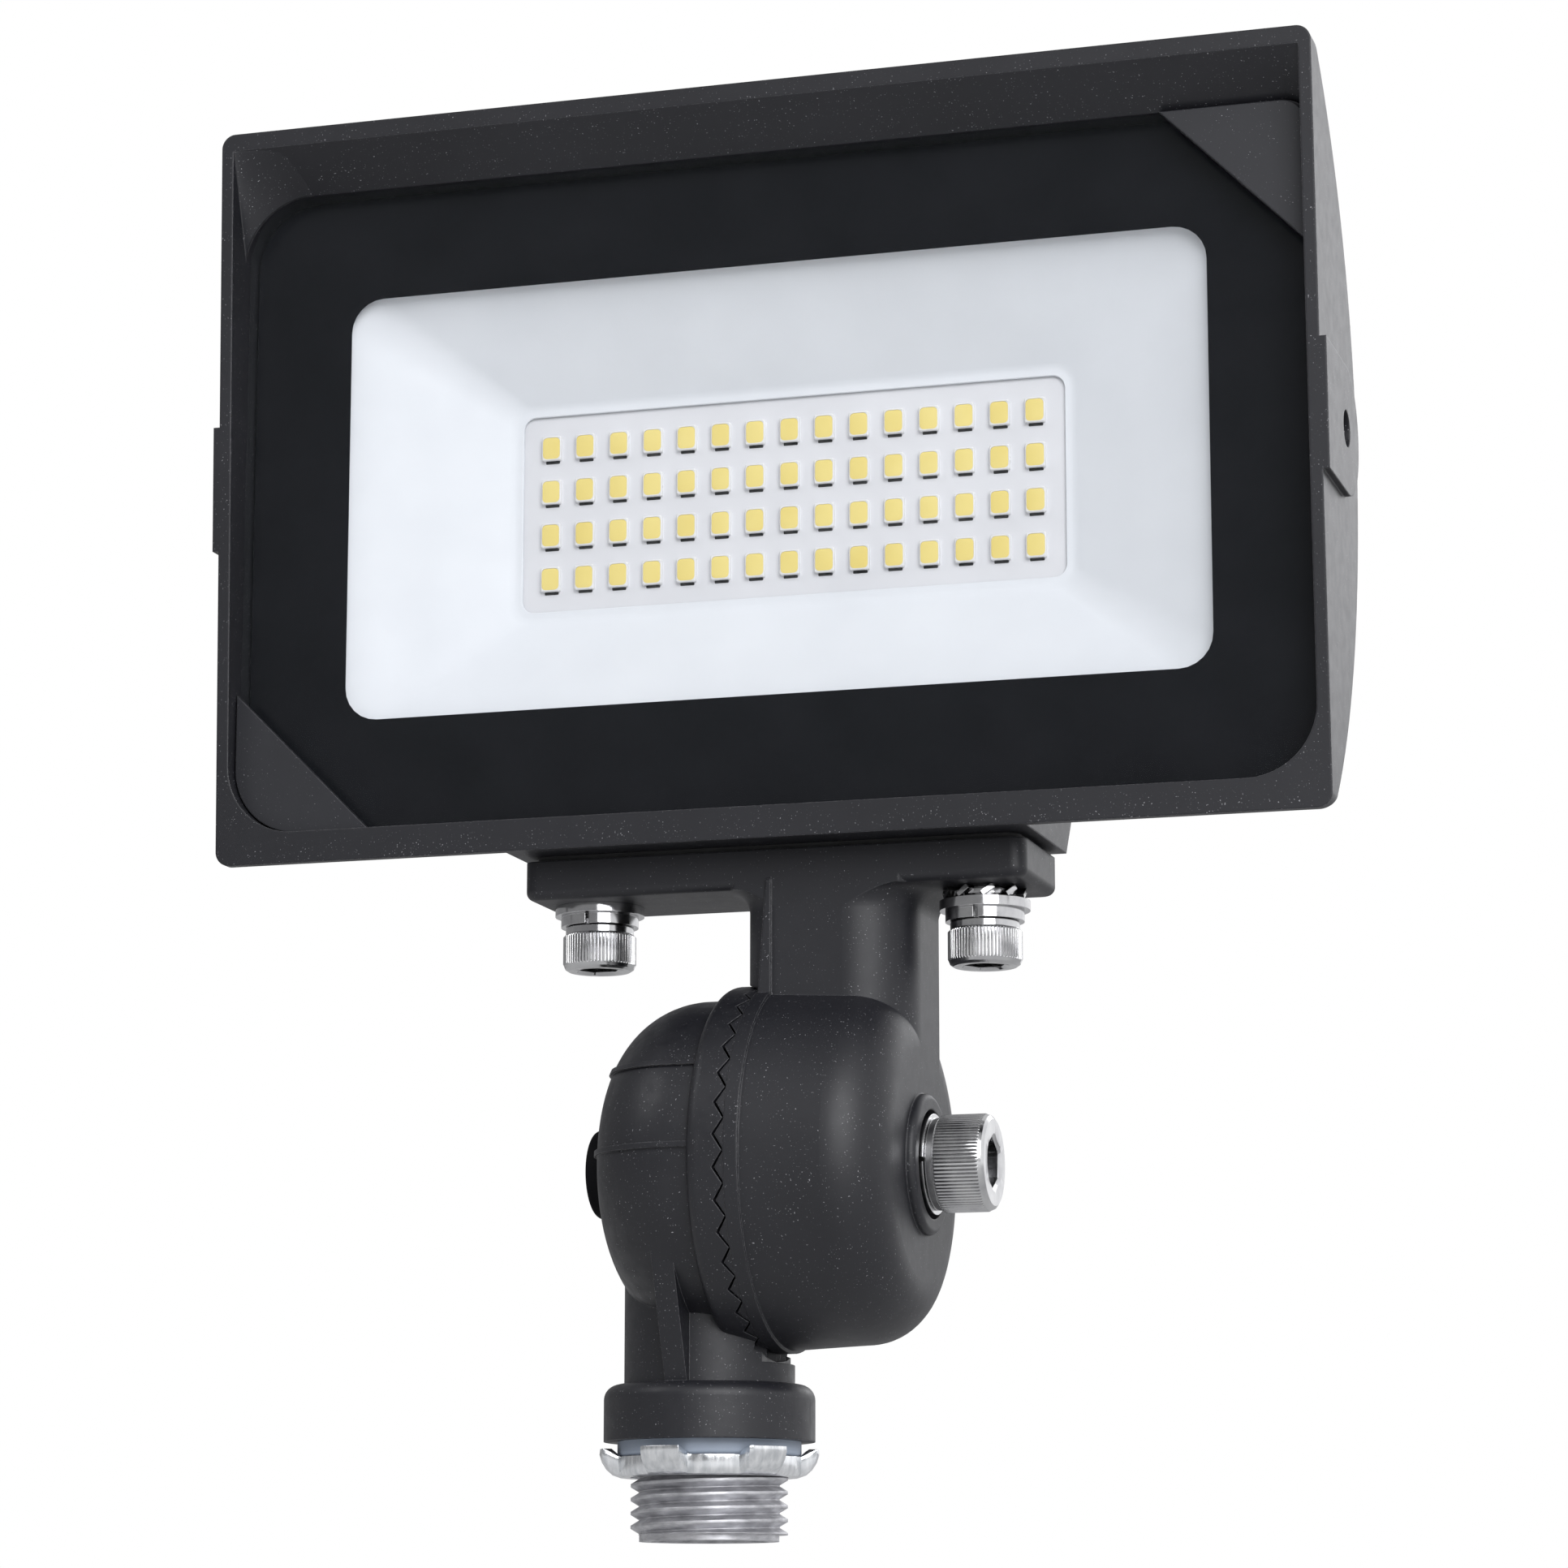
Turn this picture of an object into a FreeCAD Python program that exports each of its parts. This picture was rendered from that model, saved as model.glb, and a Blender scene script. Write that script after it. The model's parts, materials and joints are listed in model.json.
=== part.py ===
"""LED flood light head on a serrated tilt knuckle with a half-inch conduit nipple.

All lengths are millimetres. Z is up along the nipple, X runs along the tilt axis and the light shines
towards -Y. The origin is on the nipple's axis, on the collar's seat.
"""
import FreeCAD, Part
import math
import operator
import os

import Sketcher

V = FreeCAD.Vector

SIZES = {
    # overshoot of cutters past the faces that they open
    "cut_margin": 1.0,
    # conduit nipple, collar and stem, turned about Z
    "thread_radius": 10.45,
    "thread_pitch": 1.814,
    "thread_groove": 1.45,
    "thread_depth": 1.1,
    "thread_root": 0.12,
    "thread_over": 0.2,
    "nipple_length": 13.1,
    "pilot_radius": 9.3,
    "pilot_length": 0.9,
    "neck_radius": 10.2,
    "neck_length": 2.3,
    "wire_bore": 7.9,
    "wire_bore_depth": 28.0,
    "wire_hole": 5.0,
    "collar_radius": 14.1,
    "collar_height": 7.5,
    "collar_round": 2.0,
    "stem_radius": 11.4,
    "stem_step": 10.1,
    # tilt knuckle, turned about X at the pivot height
    "pivot_height": 36.1,
    "tooth_plane": 9.3,
    "tooth_depth": 1.4,
    "tooth_over": 0.2,
    "tooth_count": 36,
    "rim_radius": 24.6,
    "rim_step": 1.8,
    "rim_round": 1.6,
    "joint_gap": 0.15,
    "running_gap": 0.3,
    "lower_rim_width": 5.2,
    "drum_width": 21.3,
    "drum_round": 13.0,
    "cavity_radius": 16.5,
    "cavity_depth": 16.3,
    "hub_radius": 7.5,
    "hub_setback": 1.0,
    "gusset_width": 3.0,
    "gusset_left": -2.2,
    "gusset_foot": 12.4,
    "gusset_reach": 19.4,
    "gusset_height": 25.4,
    "parting_rib": 0.4,
    "parting_rib_width": 0.7,
    "upper_parting_rib": 12.4,
    "lower_parting_rib": 1.2,
    # upper knuckle arm and its bolting plate
    "upper_rim_width": 1.95,
    "disc_step": 0.4,
    "disc_draft": 0.9,
    "disc_width": 20.5,
    "disc_round": 8.0,
    "spigot_length": 4.15,
    "spigot_wall": 4.0,
    "seal_section": 1.0,
    "seal_groove": 2.0,
    "boss_radius": 9.4,
    "boss_height": 1.2,
    "boss_round": 0.8,
    "washer_recess": 7.3,
    "washer_recess_depth": 2.8,
    "arm_cavity_depth": 15.0,
    "neck_half_depth": 9.6,
    "neck_overhang": 2.25,
    "neck_round": 8.5,
    "neck_left_round": 5.0,
    "neck_back_round": 1.5,
    "neck_rib_width": 2.0,
    "neck_rib_taper": 1.3,
    "neck_rib_rise": 0.3,
    "neck_rib_foot": 19.0,
    "neck_cove_left": 2.8,
    "neck_cove_right": 3.0,
    "plate_length": 70.0,
    "plate_depth": 19.2,
    "plate_thick": 5.2,
    "plate_bottom": 72.75,
    "plate_corner": 2.0,
    "plate_edge": 1.2,
    "plate_gasket_thick": 0.8,
    "plate_gasket_margin": 1.2,
    "lead_hole_radius": 3.0,
    "lead_hole_x": 16.0,
    "lead_hole_y": 4.5,
    # plate bolts, two M6 cap screws
    "plate_bolt_spacing": 54.4,
    "plate_bolt_radius": 3.0,
    "plate_bolt_head_radius": 5.0,
    "plate_bolt_head_height": 6.0,
    "plate_bolt_edge": 0.5,
    "plate_bolt_grip": 12.0,
    "plate_bolt_socket": 5.0,
    "screw_gap": 0.03,
    "clear_gap": 0.3,
    "flat_washer_radius": 6.1,
    "flat_washer_thick": 1.3,
    "spring_washer_radius": 5.3,
    "spring_washer_thick": 1.5,
    "spring_washer_slit": 0.6,
    "star_washer_radius": 5.6,
    "star_washer_thick": 0.7,
    "star_washer_stack": 1.7,
    "star_tooth_count": 10,
    "star_tooth_root": 4.5,
    "star_tooth_width": 1.9,
    "star_tooth_twist": 35.0,
    # knuckle bolt, one M8 cap screw along X
    "knuckle_bolt_radius": 4.0,
    "knuckle_bolt_head_radius": 6.5,
    "knuckle_bolt_head_height": 8.0,
    "knuckle_bolt_edge": 0.65,
    "knuckle_bolt_socket": 6.0,
    "knuckle_bolt_tip": -6.0,
    "knuckle_flat_washer_radius": 7.1,
    "knuckle_flat_washer_thick": 1.4,
    "knuckle_spring_washer_radius": 6.7,
    "knuckle_spring_washer_thick": 1.8,
    "plug_radius": 6.0,
    "plug_head": 3.9,
    "plug_round": 0.65,
    "plug_stem_radius": 5.0,
    "plug_stem_length": 3.0,
    # sealing ring and locknut on the nipple
    "ring_radius": 12.25,
    "ring_thick": 2.0,
    "ring_round": 0.5,
    "nut_radius": 14.65,
    "nut_rim_radius": 12.0,
    "nut_thick": 2.7,
    "nut_lug_rise": 1.0,
    "nut_lug_wall": 1.5,
    "nut_lug_edge": 1.4,
    "nut_lug_count": 6,
    "nut_lug_turn": 20.5,
    "nut_notch_width": 8.6,
    "nut_notch_floor": 12.4,
    "nut_gap": 0.1,
    # housing of the head
    "head_center": 11.2,
    "head_width": 154.5,
    "head_bottom": 78.3,
    "head_top": 182.0,
    "head_corner": 2.0,
    "front_bottom": -16.6,
    "front_top": -20.2,
    "back_radius": 66.0,
    "back_reach": 8.5,
    "back_middle": 129.0,
    "wall": 2.4,
    "side_rim": 1.7,
    "bottom_rim": 4.3,
    "hood_lip": 2.3,
    "hood_underside": 5.6,
    "recess_corner": 9.5,
    "glass_seat": -10.0,
    "cavity_half_width": 67.0,
    "board_seat": 2.0,
    "pad_half_width": 36.2,
    "pad_front": -13.0,
    "pad_rear": 9.6,
    "bulge_rear": 22.0,
    "bulge_lower": 98.0,
    "bulge_upper": 152.0,
    "bulge_top": 166.0,
    "fin_count": 9,
    "fin_pitch": 8.0,
    "fin_groove": 4.0,
    "fin_depth": 1.2,
    "side_pad_rise": 0.9,
    "side_pad_front": -30.0,
    "side_pad_rear": 4.6,
    "side_pad_half": 8.8,
    "side_pad_corner": 8.4,
    "side_hole_y": -4.5,
    "side_hole_z": 131.2,
    "side_hole_radius": 2.5,
    "side_hole_depth": 8.0,
    # optics
    "glass_thick": 3.2,
    "glass_gap": 0.25,
    "gasket_thick": 0.6,
    "gasket_width": 7.6,
    "clip_leg": 19.6,
    "clip_thick": 1.2,
    "window_width": 122.0,
    "window_height": 60.3,
    "window_middle": 129.0,
    "reflector_wall": 1.0,
    "reflector_margin": 0.8,
    "led_margin_x": 2.8,
    "led_margin_z": 2.9,
    "floor_margin": 1.45,
    "led_columns": 15,
    "led_rows": 4,
    "led_pitch_x": 4.975,
    "led_pitch_z": 6.287,
    "led_width": 2.8,
    "led_height": 3.5,
    "led_thick": 0.8,
    "board_margin_x": 21.8,
    "board_margin_z": 6.8,
    "board_thick": 1.6,
    "board_screw_inset": 4.5,
    "board_screw_radius": 1.5,
    "board_screw_head": 2.75,
    "board_screw_head_height": 1.8,
    "board_screw_length": 5.5,
    # driver behind the light board
    "pocket_width": 66.0,
    "pocket_height": 30.0,
    "pocket_corner": 3.0,
    "driver_width": 60.0,
    "driver_height": 25.0,
    "driver_thick": 1.6,
    "standoff_height": 2.0,
    "standoff_radius": 3.0,
    "driver_screw_inset": 3.5,
    "driver_screw_radius": 1.2,
    "driver_screw_head": 2.3,
    "driver_screw_head_height": 1.5,
    "driver_screw_length": 4.0,
    "transformer_width": 16.0,
    "transformer_height": 17.0,
    "transformer_rise": 11.0,
    "capacitor_radius": 5.0,
    "capacitor_length": 18.0,
    "inductor_radius": 4.0,
    "inductor_rise": 9.0,
    "header_width": 4.0,
    "header_height": 8.0,
    "header_inset": 3.0,
}

doc = FreeCAD.newDocument("flood_light")
sheet = doc.addObject("Spreadsheet::Sheet", "Sizes")

OPERATORS = {"+": operator.add, "-": operator.sub, "*": operator.mul, "/": operator.truediv}


class Size:
    """A length worked out from the sheet: its present value and the formula that gives it."""

    def __init__(self, value, text):
        self.value = value
        self.text = text

    def __add__(self, other):
        return combine(self, other, "+")

    def __radd__(self, other):
        return combine(other, self, "+")

    def __sub__(self, other):
        return combine(self, other, "-")

    def __rsub__(self, other):
        return combine(other, self, "-")

    def __mul__(self, other):
        return combine(self, other, "*")

    def __rmul__(self, other):
        return combine(other, self, "*")

    def __truediv__(self, other):
        return combine(self, other, "/")

    def __neg__(self):
        return combine(0.0, self, "-")


def sized(number):
    if isinstance(number, Size):
        return number
    return Size(float(number), repr(float(number)))


def combine(first, second, sign):
    one = sized(first)
    two = sized(second)
    return Size(OPERATORS[sign](one.value, two.value), "(%s %s %s)" % (one.text, sign, two.text))


class Sheet:
    """The sheet's cells by name."""

    def __init__(self, sizes):
        for row, (name, number) in enumerate(sizes.items(), start=1):
            sheet.set("A%d" % row, name)
            sheet.set("B%d" % row, str(number))
            sheet.setAlias("B%d" % row, name)
            setattr(self, name, Size(number, "Sizes." + name))


S = Sheet(SIZES)
doc.recompute()


def bind(thing, name, number):
    """Tie a property of an object to the sheet."""
    thing.setExpression(name, sized(number).text)


def put(thing, place):
    """Tie an object's position to the sheet."""
    numbers = [sized(number) for number in place]
    thing.Placement.Base = V(*[number.value for number in numbers])
    for name, number in zip("xyz", numbers):
        bind(thing, ".Placement.Base.%s" % name, number)


def box(name, low, high):
    """A block between two corners."""
    block = doc.addObject("Part::Box", name)
    for side, start, stop in zip(("Length", "Width", "Height"), low, high):
        bind(block, side, sized(stop) - start)
    put(block, low)
    return block


TURNS = {
    "X": FreeCAD.Rotation(V(0, 1, 0), 90),
    "Y": FreeCAD.Rotation(V(1, 0, 0), -90),
    "Z": FreeCAD.Rotation(),
}


def rod(name, axis, start, radius, length):
    """A cylinder from a point along an axis."""
    cylinder = doc.addObject("Part::Cylinder", name)
    cylinder.Placement.Rotation = TURNS[axis]
    bind(cylinder, "Radius", radius)
    bind(cylinder, "Height", length)
    put(cylinder, start)
    return cylinder


def hexagon(name, axis, start, across_flats, length):
    """A six-sided prism from a point along an axis."""
    prism = doc.addObject("Part::Prism", name)
    prism.Polygon = 6
    prism.Placement.Rotation = TURNS[axis]
    bind(prism, "Circumradius", sized(across_flats) / math.sqrt(3.0))
    bind(prism, "Height", length)
    put(prism, start)
    return prism


def cut(name, base, *tools):
    """The base with the tools taken out of it."""
    tool = tools[0] if len(tools) == 1 else fuse(name + "_tools", *tools)
    difference = doc.addObject("Part::Cut", name)
    difference.Base = base
    difference.Tool = tool
    return difference


def fuse(name, *pieces):
    """One solid from several that meet."""
    union = doc.addObject("Part::MultiFuse", name)
    union.Shapes = list(pieces)
    union.Refine = True
    return union


def common(name, one, two):
    """What two solids share."""
    shared = doc.addObject("Part::MultiCommon", name)
    shared.Shapes = [one, two]
    return shared


def made(name, shape):
    """A solid made from the sheet's values in this script."""
    feature = doc.addObject("Part::Feature", name)
    feature.Shape = shape
    return feature


def new_body(name):
    return doc.addObject("PartDesign::Body", name)


def plane_of(body, role):
    return next(plane for plane in body.Origin.OriginFeatures if plane.Role == role)


def outline(body, role, points, offset=0.0, name="outline"):
    """A closed sketch of straight runs, each corner tied to the sheet, on one of the body's planes."""
    sketch = body.newObject("Sketcher::SketchObject", body.Name + "_" + name)
    sketch.AttachmentSupport = [(plane_of(body, role), "")]
    sketch.MapMode = "FlatFace"
    distance = sized(offset)
    sketch.AttachmentOffset.Base = V(0, 0, distance.value)
    bind(sketch, ".AttachmentOffset.Base.z", distance)
    corners = [(sized(across), sized(up)) for across, up in points]
    places = [V(across.value, up.value, 0) for across, up in corners]
    for start, stop in zip(places, places[1:] + places[:1]):
        sketch.addGeometry(Part.LineSegment(start, stop))
    count = len(corners)
    for index in range(count):
        sketch.addConstraint(Sketcher.Constraint("Coincident", index, 2, (index + 1) % count, 1))
    for index, (across, up) in enumerate(corners):
        for kind, number in (("DistanceX", across), ("DistanceY", up)):
            row = sketch.addConstraint(Sketcher.Constraint(kind, -1, 1, index, 1, number.value))
            sketch.setExpression("Constraints[%d]" % row, number.text)
    return sketch


def turned(name, axis, points, place=(0, 0, 0)):
    """A body turned about X or Z, from points of (along X, radius) or (radius, along Z)."""
    body = new_body(name)
    sketch = outline(body, "XZ_Plane", points)
    turn = body.newObject("PartDesign::Revolution", name + "_turn")
    turn.Profile = sketch
    turn.ReferenceAxis = (sketch, ["H_Axis" if axis == "X" else "V_Axis"])
    turn.Angle = 360
    put(body, place)
    doc.recompute()
    return body


PLANES = {"X": "YZ_Plane", "Y": "XZ_Plane", "Z": "XY_Plane"}


def prism(name, axis, points, start, stop):
    """A body with a straight-sided outline, padded along an axis from start to stop."""
    body = new_body(name)
    toward = -1.0 if axis == "Y" else 1.0
    sketch = outline(body, PLANES[axis], points, sized(start) * toward)
    pad = body.newObject("PartDesign::Pad", name + "_pad")
    pad.Profile = sketch
    bind(pad, "Length", sized(stop) - start)
    pad.Reversed = axis == "Y"
    doc.recompute()
    return body


def round_edges(body, name, radius, chosen):
    """Fillet the edges that the test picks."""
    names = ["Edge%d" % number for number, edge in enumerate(body.Shape.Edges, start=1) if chosen(edge)]
    last = body.Tip
    fillet = body.newObject("PartDesign::Fillet", name)
    fillet.Base = (last, names)
    bind(fillet, "Radius", radius)
    doc.recompute()
    return body


def block(name, axis, low, high, corner):
    """A block with its edges along one axis rounded."""
    across = [index for index in range(3) if "XYZ"[index] != axis]
    along = "XYZ".index(axis)
    first, second = across
    points = [
        (low[first], low[second]),
        (high[first], low[second]),
        (high[first], high[second]),
        (low[first], high[second]),
    ]
    body = prism(name, axis, points, low[along], high[along])
    direction = V(*[1.0 if "XYZ"[index] == axis else 0.0 for index in range(3)])

    def along_axis(edge):
        return edge.Vertexes[0].Point.sub(edge.Vertexes[-1].Point).normalize().cross(direction).Length < 1e-6

    return round_edges(body, name + "_corners", corner, along_axis)


def circle_at(radius, axis, height):
    """A test for the round edge of a radius at a place along an axis, in the body's own frame."""
    index = "XYZ".index(axis)

    def chosen(edge):
        if not isinstance(edge.Curve, Part.Circle):
            return False
        same_size = abs(edge.Curve.Radius - sized(radius).value) < 1e-4
        return same_size and abs(edge.Curve.Center[index] - sized(height).value) < 1e-4

    return chosen


def spread(count, pitch):
    """Evenly spaced places about zero."""
    return [(index - (count - 1) / 2.0) * pitch for index in range(int(count))]


nodes = {}


def node(name, thing):
    """Give a finished piece its name."""
    thing.Label = name
    nodes[name] = thing
    return thing


# places that several pieces share

pivot = (0.0, 0.0, S.pivot_height)
disc_face = S.tooth_plane + S.joint_gap
disc_right = disc_face + S.disc_width - S.joint_gap
drum_left = S.tooth_plane - S.drum_width
drum_radius = S.rim_radius - S.rim_step
disc_radius = S.rim_radius - S.disc_step
disc_end_radius = disc_radius - S.disc_draft
spigot_radius = S.cavity_radius - S.running_gap
hub_face = S.tooth_plane - S.hub_setback
knuckle_bore = S.knuckle_bolt_radius + S.screw_gap
plate_top = S.plate_bottom + S.plate_thick
pad_bottom = plate_top + S.plate_gasket_thick
plate_left = S.head_center - S.plate_length / 2
plate_right = S.head_center + S.plate_length / 2
bolt_places = (
    S.head_center - S.plate_bolt_spacing / 2,
    S.head_center + S.plate_bolt_spacing / 2,
)
head_left = S.head_center - S.head_width / 2
head_right = S.head_center + S.head_width / 2
recess_left = head_left + S.side_rim
recess_right = head_right - S.side_rim
recess_bottom = S.head_bottom + S.bottom_rim
recess_top = S.head_top - S.hood_lip - S.hood_underside
gasket_front = S.glass_seat - S.gasket_thick
glass_front = gasket_front - S.glass_thick
back_center = S.back_reach - S.back_radius
board_front = S.board_seat - S.board_thick
pocket_rear = S.bulge_rear - S.wall
driver_rear = pocket_rear - S.standoff_height
driver_front = driver_rear - S.driver_thick
boss_face = disc_right + S.boss_height
washer_seat = boss_face - S.washer_recess_depth
led_half = (
    ((S.led_columns - 1) * S.led_pitch_x + S.led_width) / 2,
    ((S.led_rows - 1) * S.led_pitch_z + S.led_height) / 2,
)
opening_half = (led_half[0] + S.led_margin_x, led_half[1] + S.led_margin_z)
board_half = (led_half[0] + S.board_margin_x, led_half[1] + S.board_margin_z)


def thread_groove():
    """The helical V groove of the nipple's thread, run in from below the nipple's end."""
    pitch = S.thread_pitch.value
    crest = S.thread_radius.value
    depth = S.thread_depth.value
    over = S.thread_over.value
    root_half = S.thread_root.value / 2
    slope = (S.thread_groove.value / 2 - root_half) / depth
    outer_half = root_half + slope * (depth + over)
    helix = Part.makeHelix(pitch, S.nipple_length.value - S.neck_length.value + pitch / 2, crest)
    corners = [
        V(crest - depth, 0, -root_half),
        V(crest + over, 0, -outer_half),
        V(crest + over, 0, outer_half),
        V(crest - depth, 0, root_half),
    ]
    profile = Part.makePolygon(corners + corners[:1])
    groove = Part.Wire(helix.Edges).makePipeShell([profile], True, True)
    groove.translate(V(0, 0, -S.nipple_length.value - pitch))
    return groove


def tooth_grooves():
    """Radial V grooves that taper to the tilt axis, between the lower half's teeth."""
    reach = S.rim_radius.value + S.cut_margin.value
    half = math.radians(180.0 / S.tooth_count.value)
    depth = S.tooth_depth.value * reach / S.rim_radius.value
    plane = S.tooth_plane.value
    above = S.tooth_over.value
    widen = math.tan(half) * reach * (1.0 + above / depth)
    apex = V(plane, 0, 0)
    base = [
        V(plane + above, -widen, reach),
        V(plane + above, widen, reach),
        V(plane - depth, 0, reach),
    ]
    faces = [Part.Face(Part.makePolygon(base + base[:1]))]
    for start, stop in zip(base, base[1:] + base[:1]):
        faces.append(Part.Face(Part.makePolygon([start, stop, apex, start])))
    groove = Part.makeSolid(Part.makeShell(faces))
    grooves = []
    for index in range(int(S.tooth_count.value)):
        turned_groove = groove.copy()
        angle = (index + 0.5) * 360.0 / S.tooth_count.value
        turned_groove.rotate(V(0, 0, 0), V(1, 0, 0), angle)
        turned_groove.translate(V(0, 0, S.pivot_height.value))
        grooves.append(turned_groove)
    return grooves[0].multiFuse(grooves[1:])


def parting_rib(name, height):
    """A thin raised line round the drum's outside at a height above the pivot."""
    skin = turned(name + "_skin", "X", [
        (drum_left - S.parting_rib, 0.0),
        (drum_left - S.parting_rib, drum_radius + S.parting_rib),
        (S.tooth_plane - S.lower_rim_width, drum_radius + S.parting_rib),
        (S.tooth_plane - S.lower_rim_width, 0.0),
    ], pivot)
    edge = circle_at(drum_radius + S.parting_rib, "X", drum_left - S.parting_rib)
    round_edges(skin, name + "_round", S.drum_round + S.parting_rib, edge)
    low = S.pivot_height + height - S.parting_rib_width / 2
    slab = box(name + "_slab", (drum_left - S.cut_margin, -S.rim_radius, low),
               (S.tooth_plane, -S.hub_radius, low + S.parting_rib_width))
    return common(name, skin, slab)


def lower_knuckle():
    """Left knuckle half with its teeth, stem, collar and threaded nipple, one casting."""
    drum = turned("drum", "X", [
        (drum_left, S.plug_stem_radius + S.screw_gap),
        (drum_left, drum_radius),
        (S.tooth_plane - S.lower_rim_width, drum_radius),
        (S.tooth_plane - S.lower_rim_width, S.rim_radius),
        (S.tooth_plane, S.rim_radius),
        (S.tooth_plane, S.cavity_radius),
        (S.tooth_plane - S.cavity_depth, S.cavity_radius),
        (S.tooth_plane - S.cavity_depth, S.hub_radius),
        (hub_face, S.hub_radius),
        (hub_face, knuckle_bore),
        (drum_left + S.plug_stem_length, knuckle_bore),
        (drum_left + S.plug_stem_length, S.plug_stem_radius + S.screw_gap),
    ], pivot)
    round_edges(drum, "drum_rounding", S.drum_round, circle_at(drum_radius, "X", drum_left))
    rim_edge = circle_at(S.rim_radius, "X", S.tooth_plane - S.lower_rim_width)
    round_edges(drum, "rim_rounding", S.rim_round, rim_edge)
    stem_top = S.pivot_height - (S.hub_radius + S.cavity_radius) / 2
    pilot_top = S.pilot_length - S.nipple_length
    stem = turned("stem", "Z", [
        (S.wire_hole, -S.nipple_length),
        (S.pilot_radius, -S.nipple_length),
        (S.pilot_radius, pilot_top),
        (S.thread_radius, pilot_top),
        (S.thread_radius, -S.neck_length),
        (S.neck_radius, -S.neck_length),
        (S.neck_radius, 0.0),
        (S.collar_radius, 0.0),
        (S.collar_radius, S.collar_height),
        (S.stem_radius, S.collar_height),
        (S.stem_radius, stem_top),
        (S.wire_hole, stem_top),
    ])
    round_edges(stem, "collar_rounding", S.collar_round, circle_at(S.collar_radius, "Z", S.collar_height))
    gusset = prism("gusset", "X", [
        (-S.wire_bore, S.collar_height / 2),
        (-S.gusset_foot, S.collar_height / 2),
        (-S.gusset_foot, S.collar_height),
        (-S.gusset_reach, S.gusset_height),
        (-S.wire_bore, S.gusset_height),
    ], S.gusset_left, S.gusset_left + S.gusset_width)
    inside = rod("drum_inside", "X", (S.tooth_plane - S.cavity_depth, 0, S.pivot_height),
                 S.cavity_radius, S.cavity_depth)
    disc_room = box("disc_room", (S.tooth_plane, -S.collar_radius, S.stem_step),
                    (S.tooth_plane + S.collar_radius, S.collar_radius, S.pivot_height))
    hollow_stem = cut("hollow_stem", fuse("stem_with_gusset", stem, gusset), inside, disc_room)
    slabs = fuse("parting_slabs", parting_rib("upper_parting_line", S.upper_parting_rib),
                 parting_rib("lower_parting_line", S.lower_parting_rib))
    casting = fuse("lower_casting", drum, hollow_stem, cut("parting_lines", slabs, inside))
    lead_way = rod("lower_lead_way", "Z", (0, 0, -S.nipple_length), S.wire_bore, S.wire_bore_depth)
    lead_hole = rod("lower_lead_hole", "Z", (0, 0, -S.nipple_length), S.wire_hole,
                    S.nipple_length + S.pivot_height - S.hub_radius - S.cut_margin)
    bored = cut("bored_casting", casting, lead_way, lead_hole)
    bored.Refine = False
    toothed = cut("toothed_casting", bored, made("tooth_cutter", tooth_grooves()))
    toothed.Refine = False
    threaded = cut("lower_knuckle", toothed, made("thread_cutter", thread_groove()))
    threaded.Refine = False
    return node("lower_knuckle", threaded)


def cove(name, edge, side, radius, turn):
    """A concave fillet under the plate, along one side of the neck and round its front corner of radius turn."""
    low = edge - radius if side < 0 else edge
    level = S.plate_bottom - radius
    top = S.plate_bottom + S.plate_edge
    front = turn - S.neck_half_depth
    rear = S.neck_half_depth - S.neck_back_round
    outside = edge + side * radius
    fill = box(name + "_fill", (low, front, level), (low + radius, rear, top))
    hollow = rod(name + "_hollow", "Y", (outside, front - S.cut_margin, level), radius,
                 rear - front + 2 * S.cut_margin)
    straight = cut(name + "_run", fill, hollow)
    corner_x = edge - side * turn
    reach = turn + radius
    disc = rod(name + "_corner", "Z", (corner_x, front, level), reach, top - level)
    ring = doc.addObject("Part::Torus", name + "_corner_hollow")
    bind(ring, "Radius1", reach)
    bind(ring, "Radius2", radius)
    put(ring, (corner_x, front, level))
    quarter_low = outside if side < 0 else corner_x
    quarter = box(name + "_quarter", (quarter_low, -S.neck_half_depth, level),
                  (quarter_low + reach, front, top))
    bend = common(name + "_bend", cut(name + "_corner_cut", disc, ring), quarter)
    return fuse(name, straight, bend)


def neck_piece(foot):
    """The post between the disc and the plate, cleared where it hangs over the lower half's rim."""
    left = disc_face - S.neck_overhang
    post = prism("neck_post", "Z", [
        (left, -S.neck_half_depth),
        (disc_right, -S.neck_half_depth),
        (disc_right, S.neck_half_depth),
        (left, S.neck_half_depth),
    ], foot, S.plate_bottom + S.plate_edge)

    def upright_at(across, depth):
        def chosen(edge):
            ends = [vertex.Point for vertex in edge.Vertexes]
            here = all(abs(end.x - across.value) < 1e-6 and abs(end.y - depth.value) < 1e-6 for end in ends)
            return here and abs(ends[0].z - ends[-1].z) > 1.0
        return chosen

    corners = (
        ("neck_front_right", disc_right, -S.neck_half_depth, S.neck_round),
        ("neck_front_left", left, -S.neck_half_depth, S.neck_left_round),
        ("neck_back_right", disc_right, S.neck_half_depth, S.neck_back_round),
        ("neck_back_left", left, S.neck_half_depth, S.neck_back_round),
    )
    for name, across, depth, radius in corners:
        round_edges(post, name, radius, upright_at(across, depth))
    rim_room = rod("neck_rim_room", "X", (left - S.cut_margin, 0, S.pivot_height),
                   S.rim_radius + S.running_gap, S.neck_overhang + S.cut_margin)
    rib_right = disc_face + S.neck_rib_width
    rib_foot = S.pivot_height + S.neck_rib_foot
    rib = prism("neck_rib", "Y", [
        (rib_right, rib_foot),
        (disc_face, rib_foot),
        (disc_face + S.neck_rib_taper, S.plate_bottom + S.plate_edge),
        (rib_right, S.plate_bottom + S.plate_edge),
    ], -S.neck_half_depth - S.neck_rib_rise, -S.neck_half_depth / 2)
    return fuse("neck", cut("neck_cleared", post, rim_room), rib)


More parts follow.
